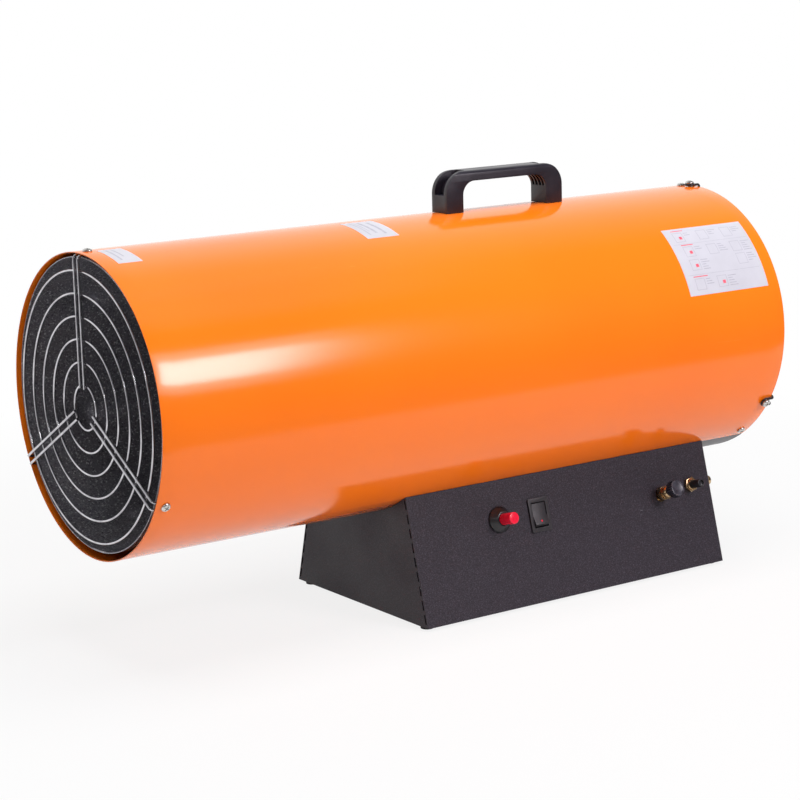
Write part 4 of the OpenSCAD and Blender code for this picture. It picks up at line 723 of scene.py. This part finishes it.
def makeThread(name, size):
    # a brass neck on the near panel, grooved where its thread stays bare
    cutting = {"pitch": 0.9, "deep": 0.38, "wall": 0.4, "sides": 40, "crest": (0.42, 0.58)}
    pitch, radius = cutting["pitch"], size["radius"]
    root = radius - cutting["deep"]
    inner = root - cutting["wall"]
    profile = [(inner, 0), (root, 0)]
    for k in range(int(size["length"] / pitch)):
        profile += [(radius, (k + share) * pitch) for share in cutting["crest"]]
        profile.append((root, (k + 1) * pitch))
    profile += [(inner, profile[-1][1]), (inner, 0)]
    form = turnedForm([(r * mm, z * mm) for r, z in profile], cutting["sides"])
    start = onPanel(base["rear"] / mm - size["fromRear"], size["up"], size["out"], size["lift"])
    turn = Vector(outward(size["lift"])).to_track_quat("Z", "Y").to_matrix().to_4x4()
    bmesh.ops.transform(form, matrix=Matrix.Translation(start) @ turn, verts=form.verts)
    piece = newObject(name, meshOf(name, form), turnedBrass)
    shadeByAngle(piece, 30)
    place(piece, None)


def onPanel(x, up, out, lift=0.0):
    # a place on the near panel: x from the rim, up along the panel, out along an axis
    tilt = panelTilt + math.radians(lift)
    return (x * mm - casing["length"] / 2,
            up * mm * math.sin(panelTilt) - base["width"] / 2 - out * mm * math.cos(tilt),
            base["foot"] + up * mm * math.cos(panelTilt) + out * mm * math.sin(tilt))


def outward(lift=0.0):
    # the way that a fitting on the near panel points
    tilt = panelTilt + math.radians(lift)
    return (0, -math.cos(tilt), math.sin(tilt))


# regulator's neck between its hexagons and the knob, and the flame valve's neck past its nut
makeThread("regulatorThread", {"fromRear": 66.2, "up": 80.2, "out": 10.4, "lift": 9.6,
                               "radius": 5.3, "length": 4.4})
makeThread("flameValveThread", {"fromRear": 27, "up": 84.4, "out": 4.2, "lift": 0,
                                "radius": 5.6, "length": 1.9})
print("threads made")


# labels: thin vinyl laid on the casing, with strips of ink that stand for nothing

def curvedPatch(points, faces, sheet, share, radius, steps):
    # adds a patch of a label, given by its shares along (left, right) and down (top, bottom)
    left, right, top, bottom = share
    start, row = len(points), steps[1] + 1
    for i in range(steps[0] + 1):
        for j in range(row):
            u = left + (right - left) * i / steps[0]
            v = top + (bottom - top) * j / steps[1]
            points.append(onCasing((sheet["startX"] + (sheet["endX"] - sheet["startX"]) * u) * mm,
                                   sheet["topAngle"] + (sheet["lowAngle"] - sheet["topAngle"]) * v,
                                   radius))
    for i in range(steps[0]):
        for j in range(steps[1]):
            a = start + i * row + j
            faces.append((a, a + 1, a + row + 1, a + row))


def wallOf(name, points, faces, material, thick):
    # a thin curved sheet, its thickness in mm laid inwards
    piece = newObject(name, meshFrom(name, points, faces), material)
    sheet = piece.modifiers.new("sheet", "SOLIDIFY")
    sheet.thickness = thick * mm
    sheet.offset = -1
    applied(piece)
    shadeByAngle(piece, 40)
    return piece


def makeLabel(name, sheet):
    # the vinyl, and then one piece for each colour of ink on it
    size = {"proud": 0.12, "thick": 0.1, "steps": (12, 24), "inkProud": 0.15, "inkThick": 0.02,
            "inkSteps": 8}
    points, faces = [], []
    curvedPatch(points, faces, sheet, (0, 1, 0, 1), casing["radius"] + size["proud"] * mm,
                size["steps"])
    place(wallOf(name, points, faces, labelVinyl, size["thick"]), None)
    for ink, material in (("grey", greyInk), ("red", redInk)):
        points, faces = [], []
        for share in sheet[ink]:
            steps = 1 + int(size["inkSteps"] * (share[3] - share[2]))
            curvedPatch(points, faces, sheet, share, casing["radius"] + size["inkProud"] * mm,
                        (1, steps))
        if faces:
            inkPiece = wallOf(name + ink.capitalize() + "Ink", points, faces, material,
                              size["inkThick"])
            place(inkPiece, None)


def largeSheet():
    # ink frames of one size, a few short lines beside each, and two long rules; all sizes are
    # shares of the label's length and height
    sheet = {"startX": 606.5, "endX": 712, "topAngle": 128.1, "lowAngle": 159.7, "grey": [],
             "red": []}
    box = {"width": 0.12, "height": 0.155, "side": 0.005, "edge": 0.006}
    note = {"beside": 0.02, "below": 0.01, "step": 0.033, "high": 0.011, "short": 0.055,
            "longer": 0.05, "red": 0.035, "redRise": 0.01}
    spots = ((0.155, 0.15, 2), (0.455, 0.145, 3), (0.76, 0.145, 3), (0.185, 0.385, 2),
             (0.48, 0.385, 4), (0.78, 0.385, 5), (0.185, 0.585, 5), (0.785, 0.575, 4),
             (0.165, 0.855, 3), (0.445, 0.85, 5))
    for number, (u, v, lines) in enumerate(spots):
        left, right = u - box["width"] / 2, u + box["width"] / 2
        top, bottom = v - box["height"] / 2, v + box["height"] / 2
        sheet["grey"] += [(left, right, top, top + box["edge"]),
                          (left, right, bottom - box["edge"], bottom),
                          (left, left + box["side"], top, bottom),
                          (right - box["side"], right, top, bottom)]
        for k in range(lines):
            # four lengths in a mixed order
            length = note["short"] + note["longer"] * ((number * 7 + k * 5) % 4) / 3
            start, at = right + note["beside"], top + note["below"] + k * note["step"]
            sheet["grey"].append((start, start + length, at, at + note["high"]))
        if number % 3 == 0:
            sheet["red"].append((u, u + note["red"], v - note["redRise"], v + note["red"]))
    sheet["grey"] += [(0.04, 0.97, 0.262, 0.266), (0.04, 0.97, 0.722, 0.726)]
    sheet["red"] += [(0.1, 0.25, 0.035, 0.047), (0.12, 0.27, 0.275, 0.287),
                     (0.1, 0.28, 0.745, 0.757)]
    return sheet


middleSheet = {"startX": 276, "endX": 312, "topAngle": 91, "lowAngle": 111.3, "red": [],
               "grey": [(0.2, 0.24, 0.1, 0.86), (0.3, 0.33, 0.1, 0.7), (0.42, 0.5, 0.12, 0.8),
                        (0.66, 0.74, 0.18, 0.86)]}
frontSheet = {"startX": 17, "endX": 41, "topAngle": 91, "lowAngle": 108.5, "red": [],
              "grey": [(0.25, 0.33, 0.12, 0.84), (0.5, 0.56, 0.12, 0.66)]}


def makeRockerMark():
    # a small red dot low on the key's face, printed flush
    size = {"x": 152.3, "up": 85.3, "tilt": 10, "pivot": 3, "down": 7.5, "dip": 4, "end": 6.2,
            "half": 12.2, "radius": 1.0, "proud": 0.04, "sides": 24}
    slope = (size["end"] - size["dip"]) / size["half"]
    lean = math.radians(size["tilt"])
    along, out = -size["down"], size["dip"] + slope * size["down"]
    up = size["up"] + along * math.cos(lean) + out * math.sin(lean)
    off = out * math.cos(lean) - along * math.sin(lean) - size["pivot"]
    steep = lean + math.atan(slope)
    panelUp = Vector((0, math.sin(panelTilt), math.cos(panelTilt)))
    normal = panelUp * math.sin(steep) + Vector(outward()) * math.cos(steep)
    across = normal.cross((1, 0, 0)).normalized()
    spot = Vector(onPanel(base["front"] / mm + size["x"], up, off))
    # a point on top, then three rings: edge of the face, rim, and below the key's skin
    sides = size["sides"]
    points, faces = [spot + normal * size["proud"] * mm], []
    for wide, lift in ((0.8, 1.0), (1.0, 0.4), (1.0, -1.0)):
        for k in range(sides):
            turn = math.tau * k / sides
            ray = Vector((1, 0, 0)) * math.cos(turn) + across * math.sin(turn)
            points.append(spot + ray * size["radius"] * wide * mm
                          + normal * size["proud"] * lift * mm)
    for k in range(sides):
        after = (k + 1) % sides
        faces.append((0, 1 + k, 1 + after))
        for low in (1, 1 + sides):
            faces.append((low + k, low + sides + k, low + sides + after, low + after))
    faces.append(tuple(range(1 + 2 * sides, 1 + 3 * sides)))
    mesh = meshFrom("rockerMark", points, faces)
    form = bmesh.new()
    form.from_mesh(mesh)
    bmesh.ops.recalc_face_normals(form, faces=form.faces)
    form.to_mesh(mesh)
    form.free()
    piece = newObject("rockerMark", mesh, redPlastic)
    shadeByAngle(piece, 40)
    place(piece, None, "rocker")


makeRockerMark()
makeLabel("largeLabel", largeSheet())
makeLabel("middleLabel", middleSheet)
makeLabel("frontLabel", frontSheet)
print("labels made")


# stage, light and camera

def makeStage():
    size = {"half": 9.0, "floor": "D8D7D7"}
    half = size["half"]
    corners = [(-half, -half, 0), (half, -half, 0), (half, half, 0), (-half, half, 0)]
    mesh = meshFrom("floor", corners, [(0, 1, 2, 3)])
    material = bpy.data.materials.new("paleFloor")
    material.use_nodes = True
    tree = material.node_tree
    tree.nodes.clear()
    matt = add(tree, "ShaderNodeBsdfDiffuse", {"Color": toLinear(size["floor"])})
    ray = add(tree, "ShaderNodeLightPath")
    spot = add(tree, "ShaderNodeTexCoord").outputs["Object"]
    # gloss paint mirrors the white sheet under the heater, and dim floor in front of it
    ahead = add(tree, "ShaderNodeSeparateXYZ", links={"Vector": spot})
    sheet = add(tree, "ShaderNodeMapRange",
                {"From Min": -0.6, "From Max": -0.5, "To Min": 0.12, "To Max": 1.0},
                {"Value": ahead.outputs["Y"]})
    plain = add(tree, "ShaderNodeMath", {"operation": "MAXIMUM"},
                {0: sheet.outputs[0], 1: ray.outputs["Is Camera Ray"]})
    glow = add(tree, "ShaderNodeEmission", {"Color": (1, 1, 1, 1)}, {"Strength": plain.outputs[0]})
    seen = add(tree, "ShaderNodeMath", {"operation": "MAXIMUM"},
               {0: ray.outputs["Is Camera Ray"], 1: ray.outputs["Is Glossy Ray"]})
    # the shadow stays near the object; further out the floor is plain white
    reach = add(tree, "ShaderNodeVectorMath", {"operation": "LENGTH"}, {0: spot})
    fade = add(tree, "ShaderNodeMapRange",
               {"From Min": 0.4, "From Max": 1.1, "To Min": 0.84, "To Max": 1.0},
               {"Value": reach.outputs["Value"]})
    share = add(tree, "ShaderNodeMath", {"operation": "MULTIPLY"},
                {0: seen.outputs[0], 1: fade.outputs[0]})
    mix = add(tree, "ShaderNodeMixShader",
              links={0: share.outputs[0], 1: matt.outputs[0], 2: glow.outputs[0]})
    add(tree, "ShaderNodeOutputMaterial", links={"Surface": mix.outputs[0]})
    newObject("floor", mesh, material, smooth=False)


def makeWorld():
    world = bpy.data.worlds.new("studio")
    bpy.context.scene.world = world
    world.use_nodes = True
    tree = world.node_tree
    tree.nodes.clear()
    ray = add(tree, "ShaderNodeLightPath")
    straight = add(tree, "ShaderNodeMath", {"operation": "MAXIMUM"},
                   {0: ray.outputs["Is Camera Ray"], 1: ray.outputs["Is Transmission Ray"]})
    clear = add(tree, "ShaderNodeMath", {"operation": "MAXIMUM"},
                {0: straight.outputs[0], 1: ray.outputs["Is Glossy Ray"]})
    ambient = add(tree, "ShaderNodeBackground", {"Color": (1, 1, 1, 1), "Strength": 0.1})
    # what polished surfaces mirror: the white wall behind, a dimmer room in front
    spot = add(tree, "ShaderNodeTexCoord").outputs[0]
    way = add(tree, "ShaderNodeSeparateXYZ", links={"Vector": spot})
    room = add(tree, "ShaderNodeMapRange",
               {"From Min": -0.1, "From Max": 0.6, "To Min": 0.14, "To Max": 1.0},
               {"Value": way.outputs["Y"]})
    bright = add(tree, "ShaderNodeMath", {"operation": "MAXIMUM"},
                 {0: room.outputs[0], 1: straight.outputs[0]})
    white = add(tree, "ShaderNodeBackground", {"Color": (1, 1, 1, 1)},
                {"Strength": bright.outputs[0]})
    mix = add(tree, "ShaderNodeMixShader",
              links={0: clear.outputs[0], 1: ambient.outputs[0], 2: white.outputs[0]})
    add(tree, "ShaderNodeOutputWorld", links={"Surface": mix.outputs[0]})


def addLamp(name, spot, target, width, height, power, along=(1, 0, 0), mirrored=True,
            tint=(1, 1, 1)):
    # a softbox whose long side lies along the given direction
    lamp = bpy.data.lights.new(name, "AREA")
    lamp.shape = "RECTANGLE"
    lamp.size, lamp.size_y = width, height
    lamp.energy = power
    lamp.color = tint
    holder = bpy.data.objects.new(name, lamp)
    bpy.context.scene.collection.objects.link(holder)
    back = (Vector(spot) - Vector(target)).normalized()
    side = Vector(along)
    side = (side - back * side.dot(back)).normalized()
    turn = Matrix((side, back.cross(side), back)).transposed().to_4x4()
    holder.matrix_world = Matrix.Translation(spot) @ turn
    holder.visible_glossy = mirrored


def makeCamera():
    # solved from the photograph: place, aim and roll in the CAD frame
    shot = {"spot": (-1.2843, -1.8174, 0.6468), "yaw": 34.815, "pitch": 11.406, "roll": -1.469,
            "focalPixels": 2299.64, "imagePixels": 800, "sensor": 36}
    yaw, pitch, roll = (math.radians(shot[k]) for k in ("yaw", "pitch", "roll"))
    ahead = Vector((math.sin(yaw) * math.cos(pitch), math.cos(yaw) * math.cos(pitch),
                    -math.sin(pitch)))
    side = Vector((math.cos(yaw), -math.sin(yaw), 0))
    top = side.cross(ahead)
    right = side * math.cos(roll) + top * math.sin(roll)
    up = top * math.cos(roll) - side * math.sin(roll)
    lens = bpy.data.cameras.new("camera")
    lens.sensor_width = shot["sensor"]
    lens.lens = shot["focalPixels"] / shot["imagePixels"] * shot["sensor"]
    lens.clip_start = 0.01
    lens.clip_end = 50
    holder = bpy.data.objects.new("camera", lens)
    bpy.context.scene.collection.objects.link(holder)
    turn = Matrix((right, up, -ahead)).transposed().to_4x4()
    holder.matrix_world = Matrix.Translation(shot["spot"]) @ turn
    bpy.context.scene.camera = holder


makeStage()
makeWorld()
addLamp("overheadSoftbox", (0.1, -0.4, 2.4), (0, 0, 0.25), width=2.4, height=1.4, power=62,
        mirrored=False)
# a bright core inside a wide dim halo, so that its mirror image on the casing has soft edges
sideAim = {"target": (-0.2, -0.13, 0.29), "along": (0.55, 0.11, -0.1), "tint": (1, 0.93, 1)}
addLamp("sideSoftbox", (0.9, -2.485, 1.511), width=0.85, height=0.8, power=32, **sideAim)
addLamp("sideHalo", (0.87, -2.55, 1.554), width=1.15, height=1.5, power=17, **sideAim)
addLamp("fillSoftbox", (0.7, -2.8, 0.7), (0, 0, 0.2), width=1.2, height=1.0, power=1.5,
        mirrored=False)
addLamp("outletGlint", (-1.9, -1.2, 1.1), (-0.36, 0, 0.24), width=0.2, height=0.2, power=2.4)
# only for views from behind
addLamp("backSoftbox", (0.2, 2.7, 1.3), (0, 0, 0.25), width=1.6, height=1.0, power=9,
        mirrored=False)
makeCamera()
bpy.context.scene.view_settings.view_transform = "Standard"
print("stage, light and camera ready")
